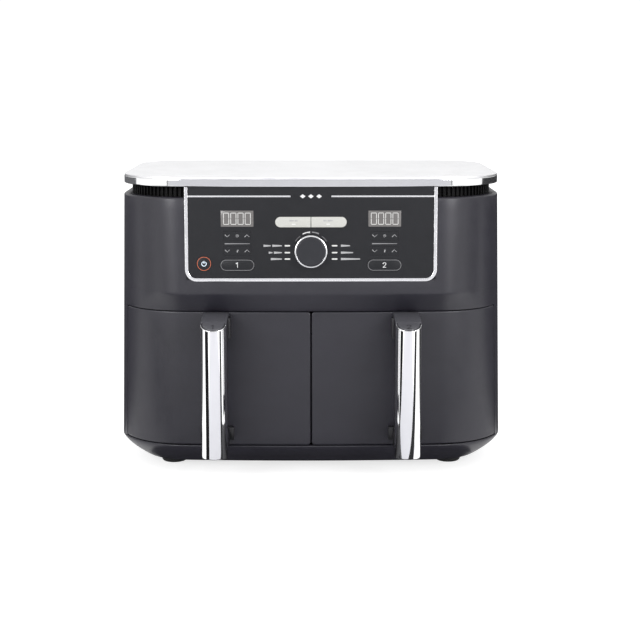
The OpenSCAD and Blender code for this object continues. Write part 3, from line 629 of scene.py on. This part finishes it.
def rear_cover():
    hw, z0, z1 = 105.0, 216.0, 262.0
    x_at = BODY_W / 2 - REAR_R
    gap = 0.004
    along = stations(
        (REAR_S + gap, 4, 14), (4, 5 - hw / x_at, 8), (5 - hw / x_at, 5 + hw / x_at, 16),
        (5 + hw / x_at, 6, 8), (6, 10 - REAR_S - gap, 14),
    )
    rows = [(z, 0) for z in (LOW_SEAM_Z, 60, 110, 165, z0, 239, z1, 275)] + CORNER_ROWS + [(SHOULDER_Z, 13.5)]

    def keep(i, j):
        mid = abs(5 - (along[i] + along[i + 1]) / 2) * x_at
        return not (z0 <= rows[j][0] and rows[j + 1][0] <= z1 and mid < hw)

    made = walls(rows, along, keep)
    for x in (-128, 120):
        made.box((x, BACK_Y - 5, 80), (x + 8, BACK_Y + 8, 196))
    made.make("rear_shell", LOOKS["housing"], "housing", "housing", ["rear_cover"],
              bevel=0.7, segments=3, bevel_angle=55)


def outline(c, n=320):
    return [rim(-5 + 10 * i / n, c) for i in range(n)]


def level_ring(z, inset=0.0, n=320):
    return [(x, y, z) for x, y in outline(section(z, inset), n)]


def base_pan():
    inside = [(9, WALL + 6), (9.4, WALL + 1.6), (11, WALL), (18, WALL), (26, WALL), (29, WALL),
              (LOW_SEAM_Z, 7.5)]
    outside = [(LOW_SEAM_Z, 0.7), (31.2, 0.2), (30.5, 0), (29.4, 0), (27, 0), (24, 0), (21, 0), (18, 0),
               (15.2, 0), (12.6, 0), (10.4, 0), (8.6, 0), (7.2, 0), (6.2, 0.25), (5.5, 0.9), (BASE_Z, 2.5)]
    Build().loft([level_ring(z, e) for z, e in inside + outside]).make(
        "base_shell", LOOKS["housing"], "housing", "housing", ["base_pan"])


def feet():
    made = Build()
    profile = [(0, 0.4), (8.2, 0.4), (8.6, 0), (10.6, 0), (12.2, 0.5), (13.3, 1.5), (14, 3), (14, 5), (0, 5)]
    for x in (-150, 150):
        for y in (-55, 122):
            made.lathe(profile, (x, y), 64)
    made.make("rubber_feet", LOOKS["rubber"], "housing", "rubber", ["feet"])


def lid():
    def ring(z, e):
        return [(x, y, z) for x, y in outline(inset_of(LID, e), 360)]

    top = TOTAL_H
    r = 0.9
    edge = [(top - r + r * math.sin(math.radians(t)), 0.25 + r - r * math.cos(math.radians(t)))
            for t in (0, 15, 30, 45, 60, 75, 90)]
    Build().loft([ring(SHEET_Z, 0.25)] + [ring(z, e) for z, e in edge] + [ring(top, 12)]).make(
        "lid_sheet", LOOKS["lid_steel"], "housing", "lid_steel", ["top_lid"], smooth=50)
    profile = [(2.4, SHEET_Z), (2.4, BAND_Z + 0.3), (2.1, BAND_Z), (0.7, BAND_Z), (0.2, BAND_Z + 0.25),
               (0, BAND_Z + 0.6), (0, BAND_Z + 0.9), (0, SHEET_Z - 0.8), (0, SHEET_Z - 0.5),
               (0.15, SHEET_Z - 0.12), (0.5, SHEET_Z)]
    rings = [[(*p, z) for p, z in zip(points, [q[1] for q in profile])]
             for points in zip(*[outline(inset_of(LID, e), 360) for e, _ in profile])]
    Build().grid(rings, wrap_u=True, wrap_v=True).make(
        "lid_band", LOOKS["bright_band"], "housing", "bright_band", ["lid_trim"], smooth=40)


def vent_ring():
    """A sloped back wall with upright fins, from one side of the panel round to the other, in a near-black
    that paints the shade of the slot under the lid.
    """
    z0, z1 = SHOULDER_Z, SHEET_Z
    made = Build()
    around = span(1, 9, 300)
    wall = [(z0, 11.0), (z1, 12.0), (z1, 13.2), (z0, 13.2)]
    made.loft([[(*rim(s, inset_of(LID, e)), z) for z, e in wall] for s in around])
    runs = [(1, 2, 19), (2, 3, 26), (3, 4, 16), (4, 6, 54), (6, 7, 16), (7, 8, 26), (8, 9, 19)]
    for a, b, n in runs:
        for i in range(n):
            mid, half = a + (b - a) * (i + 0.25) / n, (b - a) * 0.17 / n
            fin = [(mid - half, 12.4), (mid - half, 9.0), (mid - half * 0.5, 8.5),
                   (mid + half * 0.5, 8.5), (mid + half, 9.0), (mid + half, 12.4)]
            made.prism([rim(s, inset_of(LID, e)) for s, e in fin], z0, z1)
    made.make("vent_fins", VENT_BLACK_PAINTED_SHADE, "housing", "dark_plastic", ["vent_ring"])


# ---- control panel ---------------------------------------------------------------------
def on_panel(made, name, material, body, slot=None, replaces=(), bevel=0.0, segments=2):
    return made.make(name, material, body, slot, replaces, bevel=bevel, segments=segments, place=PANEL)


def bezel():
    def path(d):
        hw, r = FRAME_HW - d, 12 - d
        right = [(hw, y) for y in (PANEL_TOP, 80, 60, 40, 24, 16)]
        turn = arc(hw - r, d + r, r, 0, -90, 16)
        bottom = [(x, d) for x in (100, 60, 20)]
        half = right + turn + bottom
        return half + [(-x, y) for x, y in reversed(half)]

    profile = [(0, 0), (0, 0.75), (0.12, 1.02), (0.4, 1.17), (0.7, 1.2), (2.7, 1.2), (3.0, 1.17),
               (3.28, 1.02), (RAIL, 0.75), (RAIL, 0)]
    paths = [path(d) for d, _ in profile]
    rings = [[(*points[k], profile[k][1]) for k in range(len(profile))] for points in zip(*paths)]
    made = Build().loft(rings)
    hw, gap = FRAME_HW - RAIL + 0.3, 21.0
    bar = [(RAIL_Y, 0.01), (RAIL_Y, 0.4), (RAIL_Y + 0.2, 0.52), (RAIL_Y + 1.4, 0.52), (RAIL_Y + 1.6, 0.4),
           (RAIL_Y + 1.6, 0.01)]
    for s in SIDES.values():
        made.loft([[(s * x, y, z) for y, z in bar] for x in (gap, hw)])
    on_panel(made, "bright_frame", LOOKS["bright_frame"], "housing", "bright_frame", ["panel_bezel"])


def display_windows():
    made = Build()
    for s in SIDES.values():
        made.prism(round_rect(s * KEY_X - 16.8, DISPLAY_Y - 8.25, s * KEY_X + 16.8, DISPLAY_Y + 8.25, 0.6),
                   -1.6, 0.12)
    on_panel(made, "display_windows", LOOKS["display"], "housing", "display", ["displays"], bevel=0.1)


def seven_segments(made, x, y, w, h, t, lit_ones):
    """Adds the segments of one digit whose lower left corner is at x, y."""
    g = 0.12
    mid = y + h / 2

    def flat(cy):
        a, b = x + t / 2 + g, x + w - t / 2 - g
        return [(a, cy), (a + t / 2, cy - t / 2), (b - t / 2, cy - t / 2), (b, cy), (b - t / 2, cy + t / 2),
                (a + t / 2, cy + t / 2)]

    def tall(cx, y0, y1):
        a, b = y0 + g, y1 - g
        return [(cx, a), (cx + t / 2, a + t / 2), (cx + t / 2, b - t / 2), (cx, b), (cx - t / 2, b - t / 2),
                (cx - t / 2, a + t / 2)]

    lo, hi = y + t / 2, y + h - t / 2
    shapes = {
        "a": flat(hi), "g": flat(mid), "d": flat(lo), "f": tall(x + t / 2, mid, hi),
        "b": tall(x + w - t / 2, mid, hi), "e": tall(x + t / 2, lo, mid), "c": tall(x + w - t / 2, lo, mid),
    }
    for key in lit_ones:
        made.prism(shapes[key], 0.12, 0.17)


def display_digits():
    """Two four-digit counters that stand at zero."""
    for side, s in SIDES.items():
        on = Build()
        for k in range(4):
            at = (s * KEY_X - 14.2 + 7.4 * k, DISPLAY_Y - 6.1, 6.0, 12.2, 0.6)
            seven_segments(on, *at, "abcdef")
        on_panel(on, side + "_display_digits", LAMP, "housing")


DIGITS = {
    "1": [[(-0.28, 0.3), (0.02, 0.5), (0.02, -0.5)]],
    "2": [[(-0.3, 0.24), (-0.24, 0.42), (-0.04, 0.5), (0.18, 0.47), (0.29, 0.3), (0.25, 0.12), (0.02, -0.14),
           (-0.3, -0.46), (0.32, -0.46)]],
}


def digit_paths(char, x, y, h):
    return [[(x + px * h, y + py * h) for px, py in path] for path in DIGITS[char]]


def rocker_keys():
    """Up and down rocker keys with chevrons and a small pictogram each."""
    w, h = 27.9, 8.7
    top = 0.05
    for side, s in SIDES.items():
        for kind, y in (("time", TIME_Y), ("temp", TEMP_Y)):
            body = f"{side}_{kind}_rocker"
            x = s * KEY_X
            made = Build().prism(round_rect(x - w / 2, y - h / 2, x + w / 2, y + h / 2, 0.15), KEY_LOW, top)
            made.loft([[(x + 1.2 * math.cos(a), y + e, KEY_LOW + 1.2 * math.sin(a))
                        for a in span(0, 2 * math.pi * 23 / 24, 23)] for e in (-4.2, 4.2)])
            on_panel(made, f"{side}_{kind}_key_top", LOOKS["panel"], body, "panel",
                     [f"{side}_{kind}_key"])
            marks = Build()
            for d, sign in ((-10.3, -1), (10.0, 1)):
                tip = sign * 1.15
                chevron = [(x + d - 2.4, y - tip), (x + d, y + tip), (x + d + 2.4, y - tip)]
                marks.ribbon(chevron, 0.36, top, top + 0.05)
            if kind == "time":
                marks.ribbon(arc(x, y, 1.25, 0, 345, 24), 0.34, top, top + 0.05, closed=True)
                marks.ribbon([(x, y + 0.8), (x, y), (x + 0.55, y - 0.3)], 0.28, top, top + 0.05)
            else:
                marks.ribbon([(x, y - 0.5), (x, y + 1.3)], 0.42, top, top + 0.05)
                marks.prism(arc(x, y - 0.9, 0.62, 0, 340, 17), top, top + 0.05)
                for k in range(2):
                    marks.ribbon([(x + 0.7, y + 0.2 + 0.7 * k), (x + 1.5, y + 0.2 + 0.7 * k)], 0.24, top,
                                 top + 0.05)
            on_panel(marks, f"{side}_{kind}_marks", DIM_INK_WITH_PAINTED_GLOW, body)


def zone_keys():
    """The two drawer keys, each with its outline and number."""
    for number, (side, s) in zip("12", SIDES.items()):
        body, x, top = f"zone_{number}_button", s * KEY_X, KEY_HIGH
        on_panel(Build().prism(pill(x, ZONE_Y, 35, 11.6), KEY_LOW, top), f"zone_{number}_key_top",
                 LOOKS["panel"], body, "panel", [f"zone_{number}_key"], bevel=0.15)
        marks = Build().ribbon(pill(x, ZONE_Y, 34.0, 10.6, 16), 0.42, top, top + 0.05, closed=True)
        on_panel(marks, f"zone_{number}_outline", FAINT_INK_WITH_PAINTED_GLOW, body)
        digits = Build()
        for path in digit_paths(number, x, ZONE_Y, 5.0):
            digits.ribbon(path, 0.6, top, top + 0.05)
        on_panel(digits, f"zone_{number}_number", INK_WITH_PAINTED_GLOW, body)


def power_key():
    top, body = KEY_HIGH, "power_button"
    disc = arc(POWER_X, POWER_Y, POWER_R, 0, 355, 71)
    on_panel(Build().prism(disc, KEY_LOW, top), "power_key_top", LOOKS["panel"], body, "panel", ["power_key"],
             bevel=0.15)
    on_panel(Build().ribbon(arc(POWER_X, POWER_Y, 6.9, 0, 355, 71), 0.5, top, top + 0.05, closed=True),
             "power_ring", COPPER, body)
    marks = Build().ribbon(arc(POWER_X, POWER_Y - 0.1, 2.35, 122, 418, 30), 0.6, top, top + 0.05)
    marks.ribbon([(POWER_X, POWER_Y + 0.4), (POWER_X, POWER_Y + 2.9)], 0.55, top, top + 0.05)
    on_panel(marks, "power_symbol", BLUE_LAMP, body)


def pill_keys():
    """The pale bar, split into two keys."""
    w, h, top = 73.4, 10.7, KEY_HIGH
    full = pill(0, PILL_Y, w, h, 18)
    for key, s in (("sync", -1), ("match", 1)):
        half = [(x, y) for x, y in full if x * s > 0]
        if s > 0:
            shape = [(0.3, PILL_Y - h / 2)] + half + [(0.3, PILL_Y + h / 2)]
        else:
            shape = [(-0.3, PILL_Y + h / 2)] + half + [(-0.3, PILL_Y - h / 2)]
        body = key + "_button"
        on_panel(Build().prism(shape, KEY_LOW, top), key + "_key_top", LOOKS["light_key"], body, "light_key",
                 [key + "_key"], bevel=0.25, segments=3)
        x = s * 17.8
        dashes = Build()
        for a, b in ((-5.0, -1.6), (-0.6, 5.0)) if s > 0 else ((-4.2, 0.4), (1.4, 4.2)):
            dashes.ribbon([(x + a, PILL_Y + 1.4), (x + b, PILL_Y + 1.4)], 0.8, top, top + 0.05)
        on_panel(dashes, key + "_mark", DIM_INK_WITH_PAINTED_GLOW, body)
        on_panel(Build().prism(pill(x, PILL_Y - 2.2, 4.0, 1.2), top, top + 0.06), key + "_lamp", LAMP, body)


def dial():
    z0, z1 = 1.5, 8.6
    r = DIAL_R - 1.8
    face = [(0, z0), (r, z0), (r, z1 - 1.3), (r - 0.25, z1 - 0.75), (r - 0.8, z1 - 0.45),
            (r - 1.6, z1 - 0.42), (r * 0.6, z1 - 0.62), (0, z1 - 0.72)]
    ring = [(r + 0.05, z0), (DIAL_R - 0.25, z0), (DIAL_R, z0 + 0.3), (DIAL_R, z1 - 1.0),
            (DIAL_R - 0.2, z1 - 0.45), (DIAL_R - 0.65, z1 - 0.1), (DIAL_R - 1.1, z1),
            (DIAL_R - 1.5, z1 - 0.12), (r + 0.05, z1 - 0.45)]
    on_panel(Build().lathe(face, (0, DIAL_Y), 128), "dial_face", LOOKS["dial_face"], "dial", "dial_face",
             ["dial_knob"])
    on_panel(Build().lathe(ring, (0, DIAL_Y), 128), "dial_rim", LOOKS["bright_frame"], "dial", "bright_frame",
             ["dial_ring"])


def panel_marks():
    """Plain marks on the panel: mode lamps with dashes for labels, dividers and arcs at the dial."""
    z, t = 0.0, 0.05
    lamps, white, dim, grey = Build(), Build(), Build(), Build()
    labels = {-1: ((-48.8, -41.4, -39.8, -30.0), (-43.5, -39.6, -38.2, -30.0), (-41.4, -30.0)),
              1: ((30.8, 40.2), (30.8, 43.3), (30.8, 50.6))}
    for s, rows in labels.items():
        for row, level in zip(rows, (244.7, 237.6, 231.0)):
            lamps.prism(pill(s * 24.3, up(level), 5.8, 1.5), z, z + t)
            for a, b in zip(row[::2], row[1::2]):
                dim.ribbon([(a, up(level)), (b, up(level))], 1.05, z, z + t)
    for s in SIDES.values():
        grey.ribbon([(s * KEY_X - 12.9, up(246.8)), (s * KEY_X + 12.9, up(246.8))], 0.5, z, z + t)
    for a0, a1 in ((32, 54), (126, 148)):
        grey.ribbon(arc(0, DIAL_Y, 19.0, a0, a1, 12), 0.4, z, z + t)
    white.ribbon(arc(0, DIAL_Y, 19.6, 93, 116, 14), 1.1, z, z + t)
    grey.ribbon(arc(0, DIAL_Y, 19.6, 66, 87, 14), 1.1, z, z + t)
    for k in (-1, 0, 1):
        x, y = 8.4 * k, RAIL_Y + 0.8
        white.prism([(x - 2.9, y), (x, y - 2.1), (x + 2.9, y), (x, y + 2.1)], z, z + t)
    on_panel(lamps, "mode_lamps", LAMP, "housing")
    on_panel(white, "panel_badge", INK_WITH_PAINTED_GLOW, "housing")
    on_panel(dim, "label_dashes", DIM_INK_WITH_PAINTED_GLOW, "housing")
    on_panel(grey, "panel_lines", FAINT_INK_WITH_PAINTED_GLOW, "housing")


# ---- drawers ---------------------------------------------------------------------------
def cap_top(y):
    """Top of the handle at depth y: level at the drawer, curving down to the front edge."""
    return 174.6 - 9 * (max(0.0, FACE_Y - y) / HANDLE_REACH) ** 3


def round_drop(d, r):
    """How far a rounded edge of radius r has fallen away at distance d from its rim."""
    return r - math.sqrt(max(0.0, r * r - (r - d) ** 2)) if d < r else 0.0


def drawer_front(side, s):
    """A crowned front with rounded corners and edges, hollow behind, with a deep return all round."""
    z0, z1 = LOW_SEAM_Z + SEAM, TOP_SEAM_Z - SEAM
    corner, edge, depth, thick = 3.2, 1.4, 13.0, 3.6
    s0 = crown_s(0.6)
    per = 129.0                              # mm of outline per unit of station on the crown
    tight = [0, 0.06, 0.22, 0.5, 0.9, 1.4, 2.2, 3.2, 5]
    along = [s0 + d / per for d in tight] + stations((s0 + 8 / per, 1, 18), (1, DRAWER_S - 0.07, 22))
    per_corner = 112.0
    along += [DRAWER_S - d / per_corner for d in reversed(tight)]
    along = sorted(set(along))
    rises = tight + [9, 20, 45]
    mid = (z0 + z1) / 2

    def reach(v):
        return min((v - s0) * per, (DRAWER_S - v) * per_corner)

    def level(v, d):
        """Height at distance d above the lower rim, which curves up at both ends."""
        return z0 + round_drop(reach(v), corner) + d

    def column(v):
        lows = [level(v, d) for d in rises]
        return lows + [2 * mid - z for z in reversed(lows)]

    def inset(v, z):
        a, b = reach(v), min(z - z0, z1 - z)
        if a < corner and b < corner:
            d = corner - math.hypot(corner - a, corner - b)
        else:
            d = min(a, b)
        return round_drop(max(0.0, d), edge)

    def shrunk(v, z):
        u = 3 / per
        return (s0 + u + (v - s0) * (DRAWER_S - s0 - 2 * u) / (DRAWER_S - s0),
                mid + (z - mid) * (z1 - z0 - 6) / (z1 - z0))

    cells = [[(v, z) for z in column(v)] for v in along]
    made = Build()
    outer = [[skin_flat(v, z, inset(v, z)) for v, z in col] for col in cells]
    inner = [[skin_flat(*shrunk(v, z), thick) for v, z in col] for col in cells]
    made.grid(outer)
    made.grid(inner)
    loop = ([col[0] for col in cells] + cells[-1][1:] + [col[-1] for col in reversed(cells[:-1])]
            + cells[0][-2:0:-1])
    made.grid([
        [skin_flat(v, z, inset(v, z)) for v, z in loop],
        [skin_flat(v, z, depth) for v, z in loop],
        [skin_flat(*shrunk(v, z), depth) for v, z in loop],
        [skin_flat(*shrunk(v, z), thick) for v, z in loop],
    ], wrap_v=True)
    made.make(side + "_drawer_skin", LOOKS["housing"], side + "_drawer", "housing", [side + "_drawer_front"],
              mirror=s < 0, smooth=40)


def skin_flat(s, z, inset=0.0):
    """Point of the drawers' surface, which has no forward bulge."""
    return (*rim(s, section(z, inset)), z)


def drawer_pan(side, s):
    """Deep-drawn pan with a filleted floor and a rolled rim, and the brackets of the handle."""
    def ring(z, e):
        return [(x, y, z) for x, y in round_rect(
            PAN["x0"] + e, PAN["y0"] + e, PAN["x1"] - e, PAN["y1"] - e, PAN["r"] - e, 14)]

    wall, z0, z1 = PAN["wall"], PAN["z0"], PAN["z1"]
    fillet = 9.0
    turns = [math.radians(t) for t in (0, 15, 30, 45, 60, 75, 90)]
    inside = [(z0 + wall + fillet * (1 - math.sin(t)), wall + fillet * (1 - math.cos(t))) for t in turns]
    outside = [(z0 + fillet * (1 - math.sin(t)), fillet * (1 - math.cos(t))) for t in turns]
    rows = [(z, e) for z, e in reversed(inside)]
    top = [(100, wall), (z1 - 1.2, wall), (z1 - 0.5, wall - 0.25), (z1, wall - 0.7), (z1, 0.7),
           (z1 - 0.5, 0.2), (z1 - 1.2, 0), (100, 0)]
    rows = [(z0 + wall, wall + fillet + 6)] + sorted(rows) + top
    rows += sorted(outside, reverse=True) + [(z0, fillet + 6)]
    made = Build().loft([ring(z, e) for z, e in rows])
    body = side + "_drawer"
    made.make(side + "_pan", LOOKS["pan_coating"], body, "pan_coating", [side + "_drawer_pan"],
              mirror=s < 0, smooth=40)
    arms = Build()
    for a, b in ((44, 58), (146, 164)):
        arms.box((HANDLE_X - 15, ROOT_Y, a), (HANDLE_X + 15, PAN["y0"] + 0.4, b))
    arms.make(side + "_pan_brackets", LOOKS["pan_coating"], body, "pan_coating", bevel=1.5, segments=3,
              mirror=s < 0)


def handle_cover(side, s):
    """The bright half-round cover of the handle, its top edge following the cap."""
    back, centre = CHROME_BACK, HANDLE_FRONT + HANDLE_R

    def path(r):
        turn = arc(HANDLE_X, centre, r, 180, 360, 56)
        return [(HANDLE_X - r, back), (HANDLE_X - r, back - 1)] + turn + [
            (HANDLE_X + r, back - 1), (HANDLE_X + r, back)]

    def column(x, y, top_y):
        top = cap_top(top_y) - 0.6
        return [(x, y, z) for z in (32, 33, 60, 90, 120, 148, top - 1, top)]

    outer = [column(x, y, y) for x, y in path(HANDLE_R)]
    inner = [column(x, y, q) for (x, y), (_, q) in zip(path(HANDLE_R - 1.2), path(HANDLE_R))]
    Build().shell(outer, inner).make(
        side + "_handle_shine", LOOKS["handle_chrome"], side + "_drawer", "handle_chrome",
        [side + "_handle_cover"], bevel=0.32, segments=3, bevel_angle=50, mirror=s < 0, smooth=40)


def handle_cap(side, s):
    """The matt cap on top of the handle, curving down to a half-round front."""
    r, centre = HANDLE_R - 2.1, HANDLE_FRONT + HANDLE_R
    slices = [(centre - r * math.cos(math.radians(a)), r * math.sin(math.radians(a)))
              for a in (0.5, 2, 5, 9, 14, 20, 27, 35, 44, 54, 65, 77, 90)]
    slices += [(y, r) for y in span(centre + 0.8, CHROME_BACK + 0.45, 2)]
    slices += [(y, HANDLE_R - 0.2) for y in span(CHROME_BACK + 0.5, FACE_Y + 2.9, 14)]
    wide = [-1, -0.86, -0.6, -0.3, 0, 0.3, 0.6, 0.86, 1]

    def crown(k):
        return 0.5 * (1 - k * k)

    rings = []
    for y, w in slices:
        top = [(HANDLE_X + k * w, y, cap_top(y) - 0.5 + crown(k)) for k in wide]
        low = [(HANDLE_X + k * w, y, cap_top(y) - 4) for k in reversed(wide)]
        rings.append(top + low)
    Build().loft(rings).make(
        side + "_handle_lid", LOOKS["handle_cap"], side + "_drawer", "handle_cap", [side + "_handle_cap"],
        bevel=0.45, segments=3, bevel_angle=50, mirror=s < 0, smooth=40)


def cap_number(side, s, char):
    """The drawer's number, printed on the sloping front of the cap."""
    x, y, h = s * HANDLE_X, -167.2, 7.0
    made = Build()
    for path in digit_paths(char, x, y, h):
        fine = []
        for a, b in zip(path, path[1:]):
            fine += [(a[0] + (b[0] - a[0]) * t / 4, a[1] + (b[1] - a[1]) * t / 4) for t in range(4)]
        made.ribbon(fine + [path[-1]], 0.8, 0.0, 0.09)

    def lie(p):
        side_of = (p[0] - x) / (HANDLE_R - 2.1)
        return (p[0], p[1], cap_top(p[1]) - 0.5 * side_of ** 2 + p[2] - 0.02)

    made.points = [lie(p) for p in made.points]
    made.make(side + "_cap_number", DARK_INK, side + "_drawer")


# ---- assembly --------------------------------------------------------------------------
def dress_cad_nodes():
    """Gives every CAD node the look of its slot."""
    for row in frame["record"]["subparts"]:
        mesh = frame["nodes"][row["node"]].data
        mesh.materials.clear()
        mesh.materials.append(LOOKS[row["material_slot"]])


def rounded_cad_nodes():
    """CAD shapes that are right as they are, with rounded edges."""
    softened("exhaust_grille", LOOKS["dark_plastic"], "housing", 0.45)
    softened("cord_gland", LOOKS["rubber"], "housing", 0.5)
    softened("housing_screws", LOOKS["fastener"], "housing", 0.12)
    for side in SIDES:
        body = side + "_drawer"
        softened(side + "_handle_core", LOOKS["dark_plastic"], body, 0.6)
        softened(side + "_crisper_plate", LOOKS["plate_coating"], side + "_plate", 0.5)
        softened(side + "_plate_feet", LOOKS["silicone"], side + "_plate", 0.9, 3)


def stage_mesh(name, points, color, glow=0.0):
    """A flat quad of the studio, which may be lit through from below."""
    bm = bmesh.new()
    bm.faces.new([bm.verts.new(p) for p in points])
    mesh = bpy.data.meshes.new(name)
    bm.to_mesh(mesh)
    bm.free()
    obj = bpy.data.objects.new(name, mesh)
    bpy.context.scene.collection.objects.link(obj)
    look = Look(name, Roughness=0.9, Specular_IOR_Level=0.0, Emission_Strength=glow,
                Emission_Color=(1, 1, 1, 1))
    look.set("Base Color", look.blend(look.noise(400, 2.0), scaled(color, 0.98), color))
    mesh.materials.append(look.mat)
    return obj


def card(name, points, shade, glow=0.0):
    """A studio card that is seen only in reflections."""
    obj = stage_mesh(name, points, (shade, shade, shade * 1.05), glow)
    obj.visible_camera = obj.visible_diffuse = obj.visible_shadow = obj.visible_transmission = False


def ray_card(name, azimuth, reach, top, shade):
    """An upright card across two directions (from the front, to the right), at one distance."""
    a, b = [(reach * math.sin(t), -reach * math.cos(t)) for t in map(math.radians, azimuth)]
    card(name, [(*a, 0.0), (*b, 0.0), (*b, top), (*a, top)], shade)


def flat_card(name, x, y, height, shade):
    """A level card over the ranges x and y."""
    corners = [(x[0], y[0]), (x[1], y[0]), (x[1], y[1]), (x[0], y[1])]
    card(name, [(*corner, height) for corner in corners], shade)


def floor_card(name, x, azimuth, reach, shade):
    """A card lying in front of one handle, between two directions from it and from near to far."""
    a, b = [math.radians(v) for v in azimuth]
    at = HANDLE_FRONT * MM + 0.013
    card(name, [
        (x + r * math.sin(t), at - r * math.cos(t), 0.0015)
        for r, t in ((reach[0], a), (reach[1], a), (reach[1], b), (reach[0], b))
    ], shade)


def studio():
    """Pale floor, soft light from above and both sides, and the camera."""
    scene = bpy.context.scene
    scene.view_settings.view_transform = "Standard"
    wide = 30.0
    corners = [(-wide, -wide, 0), (wide, -wide, 0), (wide, wide, 0), (-wide, wide, 0)]
    stage_mesh("floor", corners, (0.6, 0.6, 0.6), 0.72)

    world = bpy.data.worlds.new("studio")
    scene.world = world
    world.use_nodes = True
    world.node_tree.nodes["Background"].inputs["Color"].default_value = (1, 1, 1, 1)
    world.node_tree.nodes["Background"].inputs["Strength"].default_value = 1.06

    ray_card("front_wall", (-38, 34), 2.9, 2.4, 0.62)
    ray_card("left_post", (-40.5, -38.5), 2.9, 2.4, 0.03)
    ray_card("right_post", (34.5, 36.5), 2.9, 2.4, 0.03)
    for name, turns, shade in (("left_back", (-178, -139, -100), 0.12), ("right_back", (92, 135, 178), 0.04)):
        for k in (0, 1):
            ray_card(f"{name}_{k}", turns[k:k + 2], 1.6, 0.42, shade)
    # A dark card seen only in reflections, in front of the body: a painted shadow of the floor there.
    flat_card("near_floor_painted_shadow", (-0.18, 0.18), (-0.24, -0.06), 0.001, 0.1)
    spread = [(-0.9, -1.6, 0.001), (0.9, -1.6, 0.001), (0.26, -0.24, 0.001), (-0.26, -0.24, 0.001)]
    card("mid_floor", spread, 0.7)
    for name, s in SIDES.items():
        flat_card(name + "_floor", (s * 0.22, s * 1.7), (0.03, 1.9), 0.001, 0.05)
    x = HANDLE_X * MM
    floor_card("left_dark", -x, (-77, -44), (0.07, 1.3), 0.012)
    floor_card("right_dark", -x, (58, 74), (0.07, 1.3), 0.03)

    def area(name, place, aim, size, power):
        lamp = bpy.data.lights.new(name, "AREA")
        lamp.shape, lamp.size, lamp.size_y, lamp.energy = "RECTANGLE", size[0], size[1], power
        obj = bpy.data.objects.new(name, lamp)
        obj.location = place
        obj.rotation_euler = (Vector(aim) - Vector(place)).to_track_quat("-Z", "Y").to_euler()
        scene.collection.objects.link(obj)

    area("top_soft", (0, 0.0, 1.7), (0, 0, 0), (1.6, 1.2), 5)
    area("left_soft", (-0.78, -1.05, 0.66), (-0.13, -0.1, 0.27), (0.4, 0.5), 3)
    area("right_soft", (0.78, -1.05, 0.66), (0.13, -0.1, 0.27), (0.4, 0.5), 3)
    for name, s in SIDES.items():
        card(name + "_glow", [(s * 0.55, -1.3, 0.42), (s * 1.15, -0.85, 0.42), (s * 1.15, -0.85, 0.95),
                              (s * 0.55, -1.3, 0.95)], 0.5, 8.0)

    camera = bpy.data.objects.new("camera", bpy.data.cameras.new("camera"))
    camera.data.lens, camera.data.sensor_width = 81.2, 36.0
    camera.location = (0, -1.595, 0.426)
    aim = Vector((0.0093, -0.116, 0.1666))
    camera.rotation_euler = (aim - camera.location).to_track_quat("-Z", "Y").to_euler()
    scene.collection.objects.link(camera)
    scene.camera = camera


dress_cad_nodes()
outer_housing()
rear_cover()
base_pan()
feet()
lid()
vent_ring()
bezel()
display_windows()
display_digits()
rocker_keys()
zone_keys()
power_key()
pill_keys()
dial()
panel_marks()
for SIDE, SIGN in SIDES.items():
    drawer_front(SIDE, SIGN)
    drawer_pan(SIDE, SIGN)
    handle_cover(SIDE, SIGN)
    handle_cap(SIDE, SIGN)
cap_number("left", -1, "1")
cap_number("right", 1, "2")
rounded_cad_nodes()
studio()
